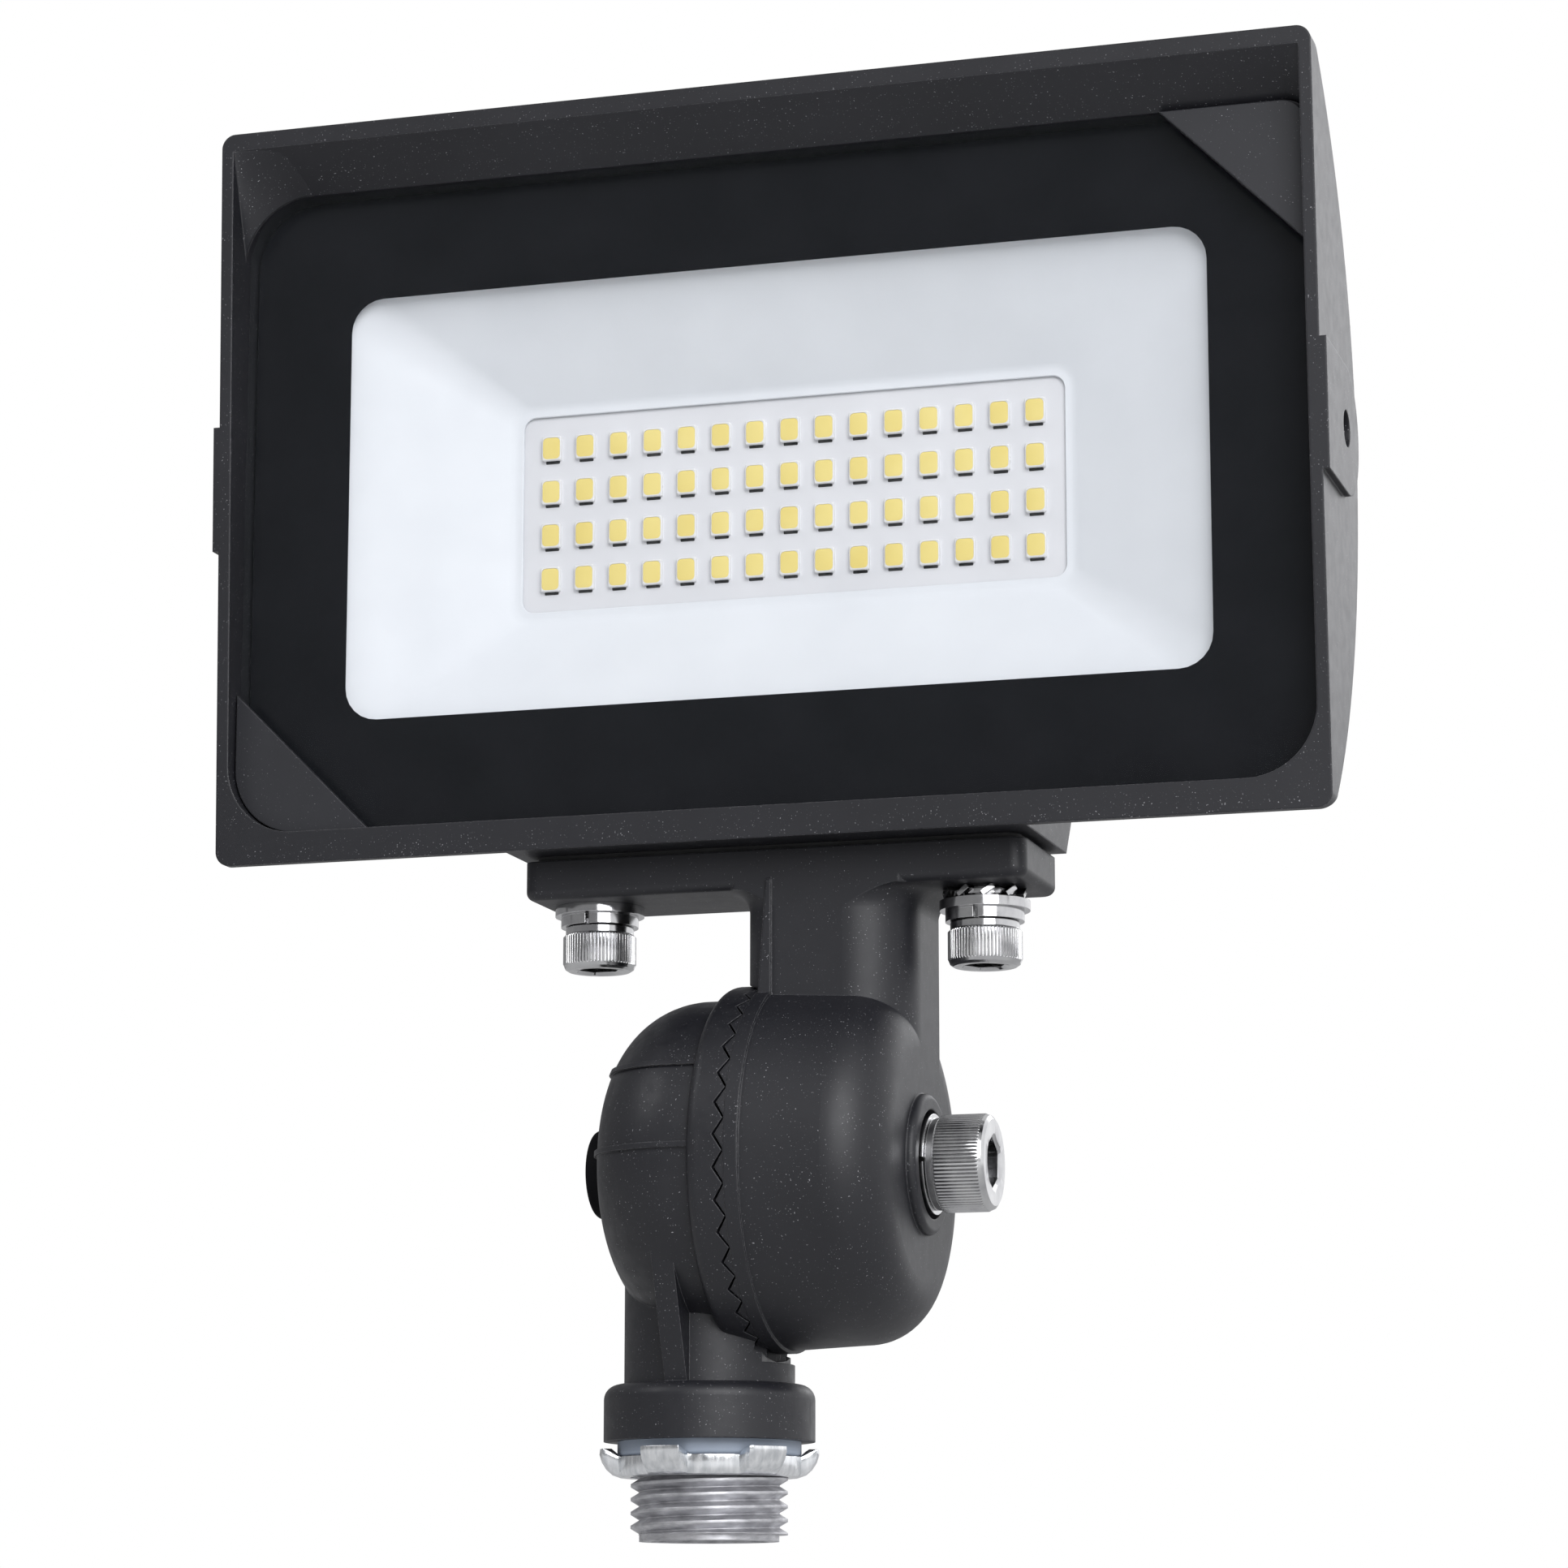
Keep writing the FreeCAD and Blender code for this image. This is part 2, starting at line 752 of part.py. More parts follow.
def upper_knuckle():
    """Right knuckle half with its neck and bolting plate, one casting."""
    groove_left = disc_face - (S.spigot_length + S.seal_groove) / 2
    disc = turned("disc", "X", [
        (disc_face - S.spigot_length, spigot_radius - S.spigot_wall),
        (disc_face - S.spigot_length, spigot_radius),
        (groove_left, spigot_radius),
        (groove_left, spigot_radius - S.seal_groove),
        (groove_left + S.seal_groove, spigot_radius - S.seal_groove),
        (groove_left + S.seal_groove, spigot_radius),
        (disc_face, spigot_radius),
        (disc_face, S.rim_radius),
        (disc_face + S.upper_rim_width, S.rim_radius),
        (disc_face + S.upper_rim_width, disc_radius),
        (disc_right, disc_end_radius),
        (disc_right, S.boss_radius),
        (boss_face, S.boss_radius),
        (boss_face, S.washer_recess),
        (washer_seat, S.washer_recess),
        (washer_seat, S.knuckle_bolt_radius + S.clear_gap),
        (hub_face + S.running_gap, S.knuckle_bolt_radius + S.clear_gap),
        (hub_face + S.running_gap, S.hub_radius),
        (hub_face + S.arm_cavity_depth, S.hub_radius),
        (hub_face + S.arm_cavity_depth, spigot_radius - S.spigot_wall),
    ], pivot)
    round_edges(disc, "disc_rounding", S.disc_round, circle_at(disc_end_radius, "X", disc_right))
    round_edges(disc, "boss_rounding", S.boss_round, circle_at(S.boss_radius, "X", boss_face))
    neck = neck_piece(S.pivot_height + spigot_radius - S.spigot_wall + S.cut_margin)
    plate = block("plate", "Z", (plate_left, -S.plate_depth / 2, S.plate_bottom),
                  (plate_right, S.plate_depth / 2, plate_top), S.plate_corner)

    def lower_rim(edge):
        return all(abs(vertex.Point.z - S.plate_bottom.value) < 1e-6 for vertex in edge.Vertexes)

    round_edges(plate, "plate_edge_rounding", S.plate_edge, lower_rim)
    coves = [
        cove("left_cove", disc_face - S.neck_overhang, -1, S.neck_cove_left, S.neck_left_round),
        cove("right_cove", disc_right, 1, S.neck_cove_right, S.neck_round),
    ]
    solid = fuse("upper_casting", disc, neck, plate, *coves)
    holes = [
        rod("plate_hole_%d" % number, "Z", (place, 0, S.plate_bottom - S.cut_margin),
            S.plate_bolt_radius + S.clear_gap, S.plate_thick + 2 * S.cut_margin)
        for number, place in enumerate(bolt_places)
    ]
    lead_way = rod("upper_lead_way", "Z", (S.lead_hole_x, S.lead_hole_y, S.pivot_height + spigot_radius / 2),
                   S.lead_hole_radius, plate_top - S.pivot_height)
    return node("upper_knuckle", cut("upper_knuckle", solid, lead_way, *holes))


def knuckle_seal():
    """Sealing ring in the spigot's groove."""
    ring = doc.addObject("Part::Torus", "knuckle_seal")
    ring.Placement.Rotation = TURNS["X"]
    bind(ring, "Radius1", spigot_radius - S.seal_groove / 2)
    bind(ring, "Radius2", S.seal_section)
    put(ring, (disc_face - S.spigot_length / 2, 0, S.pivot_height))
    return node("knuckle_seal", ring)


def cap_screw(name, axis, place, sizes):
    """A socket cap screw: its shank runs along the axis from the head's seat."""
    shank_radius, shank_length, head_radius, head_height, socket, edge = sizes
    points = [
        (-head_height, 0.0),
        (-head_height, head_radius - edge),
        (edge - head_height, head_radius),
        (0.0, head_radius),
        (0.0, shank_radius),
        (shank_length - edge, shank_radius),
        (shank_length, shank_radius - edge),
        (shank_length, 0.0),
    ]
    if axis == "Z":
        points = [(radius, along) for along, radius in points]
    screw = turned(name + "_blank", axis, points, place)
    low = list(place)
    index = "XYZ".index(axis)
    low[index] = sized(place[index]) - head_height
    return cut(name, screw, hexagon(name + "_socket", axis, low, socket, head_height / 2))


def washer(name, axis, start, bore, radius, thick):
    """A flat ring from a point along an axis."""
    return cut(name, rod(name + "_disc", axis, start, radius, thick),
               rod(name + "_hole", axis, start, bore, thick))


def split_washer(name, axis, start, bore, radius, thick):
    """A ring with one slit through its front."""
    ring = washer(name + "_ring", axis, start, bore, radius, thick)
    middle = list(start)
    low = [sized(number) for number in middle]
    high = [sized(number) for number in middle]
    along = "XYZ".index(axis)
    side = 0 if axis == "Z" else 2
    high[along] = high[along] + thick
    low[side] = low[side] - S.spring_washer_slit / 2
    high[side] = high[side] + S.spring_washer_slit / 2
    low[1] = low[1] - radius - S.cut_margin
    return cut(name, ring, box(name + "_slit", low, high))


def star_washer(name, start):
    """A lock washer with twisted outer teeth, its ring in the middle of its height."""
    place_x, place_y, top = [sized(number).value for number in start]
    bore = S.plate_bolt_radius.value + S.clear_gap.value
    thick = S.star_washer_thick.value
    middle = top - S.star_washer_stack.value / 2
    ring = Part.makeCylinder(S.star_tooth_root.value, thick, V(0, 0, -thick / 2))
    ring = ring.cut(Part.makeCylinder(bore, thick, V(0, 0, -thick / 2)))
    length = S.star_washer_radius.value - S.star_tooth_root.value + thick
    width = S.star_tooth_width.value
    teeth = []
    for index in range(int(S.star_tooth_count.value)):
        tooth = Part.makeBox(length, width, thick, V(0, -width / 2, -thick / 2))
        tooth.rotate(V(0, 0, 0), V(1, 0, 0), S.star_tooth_twist.value)
        tooth.translate(V(S.star_tooth_root.value - thick, 0, 0))
        tooth.rotate(V(0, 0, 0), V(0, 0, 1), index * 360.0 / S.star_tooth_count.value)
        teeth.append(tooth)
    star = ring.multiFuse(teeth).removeSplitter()
    star.translate(V(place_x, place_y, middle))
    return made(name, star)


def group(name, pieces):
    """Like pieces that share one node, each its own solid."""
    together = doc.addObject("Part::Compound", name)
    together.Links = pieces
    return node(name, together)


def plate_hardware():
    """Two M6 screws from below, each on a spring washer and a flat washer, one with a star washer."""
    screws = []
    springs = []
    flats = []
    bore = S.plate_bolt_radius + S.clear_gap / 2
    tops = (S.plate_bottom, S.plate_bottom - S.star_washer_stack)
    for number, (place, top) in enumerate(zip(bolt_places, tops)):
        flat_low = top - S.flat_washer_thick
        spring_low = flat_low - S.spring_washer_thick
        flats.append(washer("plate_flat_%d" % number, "Z", (place, 0, flat_low), bore,
                            S.flat_washer_radius, S.flat_washer_thick))
        springs.append(split_washer("plate_spring_%d" % number, "Z", (place, 0, spring_low), bore,
                                    S.spring_washer_radius, S.spring_washer_thick))
        length = pad_bottom - spring_low + S.plate_bolt_grip
        screws.append(cap_screw("plate_screw_%d" % number, "Z", (place, 0, spring_low), (
            S.plate_bolt_radius, length, S.plate_bolt_head_radius,
            S.plate_bolt_head_height, S.plate_bolt_socket, S.plate_bolt_edge)))
    group("plate_bolts", screws)
    group("plate_spring_washers", springs)
    group("plate_flat_washers", flats)
    node("plate_star_washer", star_washer("plate_star_washer", (bolt_places[1], 0.0, S.plate_bottom)))


def knuckle_hardware():
    """The M8 clamp screw along the tilt axis, its two washers and the plug over its tip."""
    flat_right = washer_seat + S.knuckle_flat_washer_thick
    head_seat = flat_right + S.knuckle_spring_washer_thick
    bore = S.knuckle_bolt_radius + S.clear_gap / 2
    node("knuckle_flat_washer", washer(
        "knuckle_flat_washer", "X", (washer_seat, 0, S.pivot_height), bore,
        S.knuckle_flat_washer_radius, S.knuckle_flat_washer_thick))
    node("knuckle_spring_washer", split_washer(
        "knuckle_spring_washer", "X", (flat_right, 0, S.pivot_height), bore,
        S.knuckle_spring_washer_radius, S.knuckle_spring_washer_thick))
    edge = S.knuckle_bolt_edge
    head_end = head_seat + S.knuckle_bolt_head_height
    blank = turned("knuckle_bolt_blank", "X", [
        (S.knuckle_bolt_tip, 0.0),
        (S.knuckle_bolt_tip, S.knuckle_bolt_radius - edge),
        (S.knuckle_bolt_tip + edge, S.knuckle_bolt_radius),
        (head_seat, S.knuckle_bolt_radius),
        (head_seat, S.knuckle_bolt_head_radius),
        (head_end - edge, S.knuckle_bolt_head_radius),
        (head_end, S.knuckle_bolt_head_radius - edge),
        (head_end, 0.0),
    ], pivot)
    depth = S.knuckle_bolt_head_height / 2
    socket = hexagon("knuckle_bolt_socket", "X", (head_end - depth, 0, S.pivot_height),
                     S.knuckle_bolt_socket, depth)
    node("knuckle_bolt", cut("knuckle_bolt", blank, socket))
    plug = turned("bolt_plug", "X", [
        (drum_left - S.plug_head, 0.0),
        (drum_left - S.plug_head, S.plug_radius),
        (drum_left, S.plug_radius),
        (drum_left, S.plug_stem_radius),
        (drum_left + S.plug_stem_length, S.plug_stem_radius),
        (drum_left + S.plug_stem_length, 0.0),
    ], pivot)
    rim = circle_at(S.plug_radius, "X", drum_left - S.plug_head)
    node("bolt_plug", round_edges(plug, "plug_rounding", S.plug_round, rim))


def sealing_ring():
    """Flat sealing ring under the collar."""
    ring = turned("sealing_ring", "Z", [
        (S.neck_radius + S.clear_gap, -S.ring_thick),
        (S.ring_radius, -S.ring_thick),
        (S.ring_radius, 0.0),
        (S.neck_radius + S.clear_gap, 0.0),
    ])
    rim = circle_at(S.ring_radius, "Z", -S.ring_thick)
    return node("sealing_ring", round_edges(ring, "ring_rounding", S.ring_round, rim))


def locknut():
    """Locknut with six lugs turned up round the sealing ring."""
    top = -S.ring_thick
    low = top - S.nut_thick
    lug_top = top + S.nut_lug_rise
    bore = S.thread_radius + S.nut_gap
    blank = turned("nut_blank", "Z", [
        (bore, low),
        (S.nut_rim_radius, low),
        (S.nut_radius, lug_top - S.nut_lug_edge),
        (S.nut_radius, lug_top),
        (S.nut_radius - S.nut_lug_wall, lug_top),
        (S.ring_radius + S.clear_gap, top),
        (bore, top),
    ])
    notches = []
    for index in range(int(S.nut_lug_count.value)):
        notch = box("nut_notch_%d" % index, (S.nut_notch_floor, -S.nut_notch_width / 2, low - S.cut_margin),
                    (S.nut_radius + S.cut_margin, S.nut_notch_width / 2, lug_top + S.cut_margin))
        holder = doc.addObject("Part::Compound", "nut_notch_turn_%d" % index)
        holder.Links = [notch]
        angle = S.nut_lug_turn.value + (index + 0.5) * 360.0 / S.nut_lug_count.value
        holder.Placement.Rotation = FreeCAD.Rotation(V(0, 0, 1), angle)
        notches.append(holder)
    return node("locknut", cut("locknut", blank, *notches))


def plate_gasket():
    """Flat seal between the plate and the housing's pad."""
    margin = S.plate_gasket_margin
    sheet_body = block("plate_gasket_sheet", "Z",
                       (plate_left + margin, margin - S.plate_depth / 2, plate_top),
                       (plate_right - margin, S.plate_depth / 2 - margin, pad_bottom),
                       S.plate_corner)
    holes = [
        rod("gasket_hole_%d" % number, "Z", (place, 0, plate_top),
            S.plate_bolt_radius + S.clear_gap, S.plate_gasket_thick)
        for number, place in enumerate(bolt_places)
    ]
    lead_way = rod("gasket_lead_way", "Z", (S.lead_hole_x, S.lead_hole_y, plate_top),
                   S.lead_hole_radius, S.plate_gasket_thick)
    return node("plate_gasket", cut("plate_gasket", sheet_body, lead_way, *holes))


def back_cylinder(name, radius, left, right):
    """The curved back's cylinder along X."""
    return rod(name, "X", (left, back_center, S.back_middle), radius, right - left)


def rear_housing():
    """The head's die-cast housing: curved back, hood, driver box, foot pad and side pads."""
    slab = prism("head_slab", "X", [
        (S.front_bottom, S.head_bottom),
        (S.front_top, S.head_top),
        (S.back_reach + S.wall, S.head_top),
        (S.back_reach + S.wall, S.head_bottom),
    ], head_left, head_right)

    def corner_edge(edge):
        ends = [vertex.Point for vertex in edge.Vertexes]
        flat = abs(ends[0].z - ends[-1].z) < 1e-6 and abs(ends[0].x - ends[-1].x) < 1e-6
        return flat and abs(ends[0].y - ends[-1].y) > 1.0

    round_edges(slab, "head_corner_rounding", S.head_corner, corner_edge)
    shell = common("head_shell", slab, back_cylinder("head_back", S.back_radius, head_left, head_right))
    bulge = prism("driver_bulge", "X", [
        (S.pad_front, pad_bottom),
        (S.pad_rear, pad_bottom),
        (S.bulge_rear, S.bulge_lower),
        (S.bulge_rear, S.bulge_upper),
        (0.0, S.bulge_top),
        (S.pad_front, S.bulge_upper),
    ], S.head_center - S.pad_half_width, S.head_center + S.pad_half_width)
    pad_low = S.side_hole_z - S.side_pad_half
    pad_high = S.side_hole_z + S.side_pad_half
    left_pad = block("left_side_pad", "X", (head_left - S.side_pad_rise, S.side_pad_front, pad_low),
                     (recess_left, S.side_pad_rear, pad_high), S.side_pad_corner)
    right_pad = block("right_side_pad", "X", (recess_right, S.side_pad_front, pad_low),
                      (head_right + S.side_pad_rise, S.side_pad_rear, pad_high), S.side_pad_corner)
    behind_rim = prism("behind_rim", "X", [
        (S.front_bottom, S.head_bottom),
        (S.front_top, S.head_top),
        (S.back_reach, S.head_top),
        (S.back_reach, S.head_bottom),
    ], head_left - S.side_pad_rise, head_right + S.side_pad_rise)
    solid = fuse("head_solid", shell, bulge, common("left_flush_pad", left_pad, behind_rim),
                 common("right_flush_pad", right_pad, behind_rim))
    far = S.front_top * 2
    recess = block("front_recess", "Y", (recess_left, far, recess_bottom),
                   (recess_right, S.glass_seat, recess_top), S.recess_corner)
    hood_room = prism("hood_room", "X", [
        (glass_front - S.clip_thick, recess_top - S.recess_corner),
        (glass_front, recess_top),
        (S.front_top, S.head_top - S.hood_lip),
        (far, S.head_top - S.hood_lip),
        (far, recess_top - S.recess_corner),
    ], recess_left, recess_right)
    optic_box = box("optic_room", (S.head_center - S.cavity_half_width, S.glass_seat - S.cut_margin, S.head_bottom),
                    (S.head_center + S.cavity_half_width, S.board_seat, S.head_top))
    optic_cavity = common("optic_cavity", optic_box, back_cylinder(
        "optic_back", S.back_radius - S.wall, head_left, head_right))
    pocket_low = S.window_middle - S.pocket_height / 2
    pocket = block("driver_pocket", "Y",
                   (S.head_center - S.pocket_width / 2, S.board_seat - S.cut_margin, pocket_low),
                   (S.head_center + S.pocket_width / 2, pocket_rear, pocket_low + S.pocket_height),
                   S.pocket_corner)
    side_holes = [
        rod("left_side_hole", "X", (head_left - S.side_pad_rise, S.side_hole_y, S.side_hole_z),
            S.side_hole_radius, S.side_hole_depth),
        rod("right_side_hole", "X",
            (head_right + S.side_pad_rise - S.side_hole_depth, S.side_hole_y, S.side_hole_z),
            S.side_hole_radius, S.side_hole_depth),
    ]
    bolt_holes = [
        rod("pad_hole_%d" % number, "Z", (place, 0, pad_bottom),
            S.plate_bolt_radius + S.screw_gap, S.plate_bolt_grip + S.cut_margin)
        for number, place in enumerate(bolt_places)
    ]
    lead_way = rod("housing_lead_way", "Z", (S.lead_hole_x, S.lead_hole_y, pad_bottom), S.lead_hole_radius,
                   pocket_low - pad_bottom + S.cut_margin)
    screw_holes = [
        rod("board_hole_%d" % number, "Y", (across, S.board_seat, up), S.board_screw_radius + S.screw_gap,
            S.board_screw_length - S.board_thick + S.clear_gap)
        for number, (across, up) in enumerate(board_screw_places())
    ]
    fins = [
        box("fin_groove_%d" % number,
            (S.head_center + offset - S.fin_groove / 2, S.bulge_rear - S.fin_depth, pad_bottom),
            (S.head_center + offset + S.fin_groove / 2, S.bulge_rear + S.cut_margin, S.head_top))
        for number, offset in enumerate(
            (index - (S.fin_count - 1) / 2) * S.fin_pitch for index in range(int(S.fin_count.value)))
    ]
    hollow = cut("hollow_housing", solid, recess, hood_room, optic_cavity, pocket, lead_way,
                 *side_holes, *bolt_holes, *screw_holes, *fins)
    standoffs = [
        cut("standoff_%d" % number,
            rod("standoff_post_%d" % number, "Y", (across, driver_rear, up), S.standoff_radius,
                S.standoff_height + S.clear_gap),
            rod("standoff_hole_%d" % number, "Y", (across, driver_rear, up),
                S.driver_screw_radius + S.screw_gap, S.standoff_height))
        for number, (across, up) in enumerate(driver_screw_places())
    ]
    return node("rear_housing", fuse("rear_housing", hollow, *standoffs))


def lens():
    """The flat glass and the gasket that it sits on."""
    gap = S.glass_gap
    glass = block("lens_glass", "Y", (recess_left + gap, glass_front, recess_bottom + gap),
                  (recess_right - gap, gasket_front, recess_top - gap), S.recess_corner - gap)
    node("lens_glass", glass)
    frame = block("gasket_blank", "Y", (recess_left + gap, gasket_front, recess_bottom + gap),
                  (recess_right - gap, S.glass_seat, recess_top - gap), S.recess_corner - gap)
    width = S.gasket_width
    inner_low = S.window_middle - S.window_height / 2 - width
    inner_high = S.window_middle + S.window_height / 2 + width
    opening = block("gasket_opening", "Y",
                    (recess_left + gap + width, gasket_front - S.cut_margin, inner_low),
                    (recess_right - gap - width, S.glass_seat + S.cut_margin, inner_high),
                    S.recess_corner - gap)
    node("lens_gasket", cut("lens_gasket", frame, opening))


def corner_clip(name, corner, across, up):
    """A three-cornered clip over a corner of the glass, its outer corner rounded with the recess."""
    edge_x, edge_z = corner
    points = [
        (edge_x, edge_z),
        (edge_x + across * S.clip_leg, edge_z),
        (edge_x, edge_z + up * S.clip_leg),
    ]
    clip = prism(name, "Y", points, glass_front - S.clip_thick, glass_front)

    def outer(edge):
        ends = [vertex.Point for vertex in edge.Vertexes]
        near = all(math.hypot(end.x - sized(edge_x).value, end.z - sized(edge_z).value) < 1e-4 for end in ends)
        return near

    return node(name, round_edges(clip, name + "_rounding", S.recess_corner - S.glass_gap, outer))


def frustum(name, front, rear, front_half, rear_half):
    """A four-sided funnel block between two rectangles about the window's middle."""
    body = new_body(name)
    sections = []
    for label, depth, half in (("front", front, front_half), ("rear", rear, rear_half)):
        half_x, half_z = half
        points = [
            (S.head_center - half_x, S.window_middle - half_z),
            (S.head_center + half_x, S.window_middle - half_z),
            (S.head_center + half_x, S.window_middle + half_z),
            (S.head_center - half_x, S.window_middle + half_z),
        ]
        sections.append(outline(body, "XZ_Plane", points, -sized(depth), label))
    loft = body.newObject("PartDesign::AdditiveLoft", name + "_loft")
    loft.Profile = sections[0]
    loft.Sections = [sections[1]]
    loft.Ruled = True
    doc.recompute()
    return body


def reflector():
    """White funnel tray from the window down to the light board, with a front flange."""
    front = S.glass_seat + S.glass_gap
    rear = board_front - S.glass_gap
    skin = S.reflector_wall
    mouth = (S.window_width / 2 + S.reflector_margin, S.window_height / 2 + S.reflector_margin)
    floor = [side + S.floor_margin for side in opening_half]
    outer = frustum("reflector_outer", front, rear, [side + skin for side in mouth],
                    [side + skin for side in floor])
    inner = frustum("reflector_inner", front, rear - skin, mouth, floor)
    flange_half = (S.cavity_half_width - S.clear_gap, mouth[1] + S.gasket_width / 2)
    flange = box("reflector_flange",
                 (S.head_center - flange_half[0], front, S.window_middle - flange_half[1]),
                 (S.head_center + flange_half[0], front + skin, S.window_middle + flange_half[1]))
    opening = box("reflector_opening",
                  (S.head_center - opening_half[0], front, S.window_middle - opening_half[1]),
                  (S.head_center + opening_half[0], rear + S.cut_margin, S.window_middle + opening_half[1]))
    tray = fuse("reflector_solid", outer, flange)
    return node("reflector", cut("reflector", tray, inner, opening))


def board_screw_places():
    """Centres of the light board's four screws."""
    half_x = board_half[0] - S.board_screw_inset
    half_z = board_half[1] - S.board_screw_inset
    return [
        (S.head_center + across * half_x, S.window_middle + up * half_z)
        for across in (-1, 1) for up in (-1, 1)
    ]


def small_screw(name, place, front, sizes):
    """A pan screw along +Y whose head's underside lies on a face."""
    radius, length, head, height = sizes
    across, up = place
    shank = rod(name + "_shank", "Y", (across, front - height / 2, up), radius, length + height / 2)
    cap = rod(name + "_cap", "Y", (across, front - height, up), head, height)
    return fuse(name, shank, cap)


def light_board():
    """The metal-core board, its screws and its grid of light-emitting chips."""
    board = box("led_board_blank",
                (S.head_center - board_half[0], board_front, S.window_middle - board_half[1]),
                (S.head_center + board_half[0], S.board_seat, S.window_middle + board_half[1]))
    places = board_screw_places()
    holes = [
        rod("led_board_hole_%d" % number, "Y", (across, board_front, up),
            S.board_screw_radius + S.clear_gap, S.board_thick)
        for number, (across, up) in enumerate(places)
    ]
    node("led_board", cut("led_board", board, *holes))
    sizes = (S.board_screw_radius, S.board_screw_length, S.board_screw_head, S.board_screw_head_height)
    group("board_screws", [
        small_screw("board_screw_%d" % number, place, board_front, sizes)
        for number, place in enumerate(places)
    ])
    width = S.led_width.value
    height = S.led_height.value
    thick = S.led_thick.value
    chips = []
    for across in spread(S.led_columns.value, S.led_pitch_x.value):
        for up in spread(S.led_rows.value, S.led_pitch_z.value):
            corner = V(S.head_center.value + across - width / 2, board_front.value - thick,
                       S.window_middle.value + up - height / 2)
            chips.append(Part.makeBox(width, thick, height, corner))
    node("led_chips", made("led_chips", Part.makeCompound(chips)))


def driver_screw_places():
    """Centres of the driver board's two screws, at opposite corners."""
    half_x = S.driver_width / 2 - S.driver_screw_inset
    half_z = S.driver_height / 2 - S.driver_screw_inset
    return [
        (S.head_center + sign * half_x, S.window_middle + sign * half_z)
        for sign in (-1, 1)
    ]


def driver():
    """The driver board in the rear pocket with its larger components."""
    left = S.head_center - S.driver_width / 2
    low = S.window_middle - S.driver_height / 2
    board = box("driver_board_blank", (left, driver_front, low),
                (left + S.driver_width, driver_rear, low + S.driver_height))
    places = driver_screw_places()
    holes = [
        rod("driver_board_hole_%d" % number, "Y", (across, driver_front, up),
            S.driver_screw_radius + S.clear_gap / 2, S.driver_thick)
        for number, (across, up) in enumerate(places)
    ]
    node("driver_board", cut("driver_board", board, *holes))
    sizes = (S.driver_screw_radius, S.driver_screw_length - S.driver_thick, S.driver_screw_head,
             S.driver_screw_head_height)
    group("driver_screws", [
        small_screw("driver_screw_%d" % number, place, driver_front, sizes)
        for number, place in enumerate(places)
    ])
    core = box("driver_transformer",
               (S.head_center - S.transformer_width / 2, driver_front - S.transformer_rise,
                S.window_middle - S.transformer_height / 2),
               (S.head_center + S.transformer_width / 2, driver_front,
                S.window_middle + S.transformer_height / 2))
    node("driver_transformer", core)
    can = rod("driver_capacitor", "Z",
              (S.head_center - S.driver_width / 3, driver_front - S.capacitor_radius,
               S.window_middle - S.capacitor_length / 2), S.capacitor_radius, S.capacitor_length)
    node("driver_capacitor", can)
    coil = rod("driver_inductor", "Y",
               (S.head_center + S.driver_width / 4, driver_front - S.inductor_rise, S.window_middle),
               S.inductor_radius, S.inductor_rise)
    node("driver_inductor", coil)
    header_right = S.head_center + S.driver_width / 2 - S.header_inset
    header = box("driver_header",
                 (header_right - S.header_width, S.board_seat, S.window_middle - S.header_height / 2),
                 (header_right, driver_front, S.window_middle + S.header_height / 2))
    node("driver_header", header)


def main():
    lower_knuckle()
    upper_knuckle()
    knuckle_seal()
    plate_hardware()
    knuckle_hardware()
    sealing_ring()
    locknut()
    plate_gasket()
    rear_housing()
    lens()
    gap = S.glass_gap
    corner_clip("corner_clip_upper_right", (recess_right - gap, recess_top - gap), -1, -1)
    corner_clip("corner_clip_lower_left", (recess_left + gap, recess_bottom + gap), 1, 1)
    reflector()
    light_board()
    driver()
    doc.recompute()
    failed = [thing.Name for thing in doc.Objects if {"Invalid", "Error"} & set(thing.State)]
    if failed:
        raise RuntimeError("failed objects: %s" % ", ".join(failed))
    for name, thing in nodes.items():
        if thing.Shape.isNull() or not thing.Shape.isValid() or not thing.Shape.Solids:
            raise RuntimeError("bad shape: %s" % name)
    os.makedirs("parts", exist_ok=True)
    for name, thing in nodes.items():
        thing.Shape.exportStep("parts/%s.step" % thing.Label)
        print("%-26s %3d solids %10.1f mm3" % (name, len(thing.Shape.Solids), thing.Shape.Volume))


main()
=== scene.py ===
"""Looks of the LED flood light: its finishes, printed glass, reflector, light chips and knurled screws."""
import json
import math

import bmesh
import bpy
from mathutils import Matrix, Vector


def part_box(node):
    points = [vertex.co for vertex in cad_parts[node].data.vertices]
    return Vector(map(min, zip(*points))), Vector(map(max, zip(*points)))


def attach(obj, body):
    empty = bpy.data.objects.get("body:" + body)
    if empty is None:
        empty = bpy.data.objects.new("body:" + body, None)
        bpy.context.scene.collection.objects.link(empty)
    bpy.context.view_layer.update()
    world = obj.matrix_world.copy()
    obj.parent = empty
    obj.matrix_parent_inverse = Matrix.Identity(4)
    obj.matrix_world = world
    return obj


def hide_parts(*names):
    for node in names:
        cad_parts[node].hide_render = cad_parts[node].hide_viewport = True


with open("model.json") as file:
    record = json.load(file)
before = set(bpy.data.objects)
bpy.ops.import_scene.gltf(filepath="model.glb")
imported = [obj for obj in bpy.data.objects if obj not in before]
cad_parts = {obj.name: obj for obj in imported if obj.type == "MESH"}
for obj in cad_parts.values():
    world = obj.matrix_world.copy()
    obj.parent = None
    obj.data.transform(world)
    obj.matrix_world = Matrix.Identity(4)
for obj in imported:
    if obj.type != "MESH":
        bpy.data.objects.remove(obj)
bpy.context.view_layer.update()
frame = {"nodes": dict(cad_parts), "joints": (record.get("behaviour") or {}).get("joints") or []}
NODES = frame["nodes"]
MM = 0.001

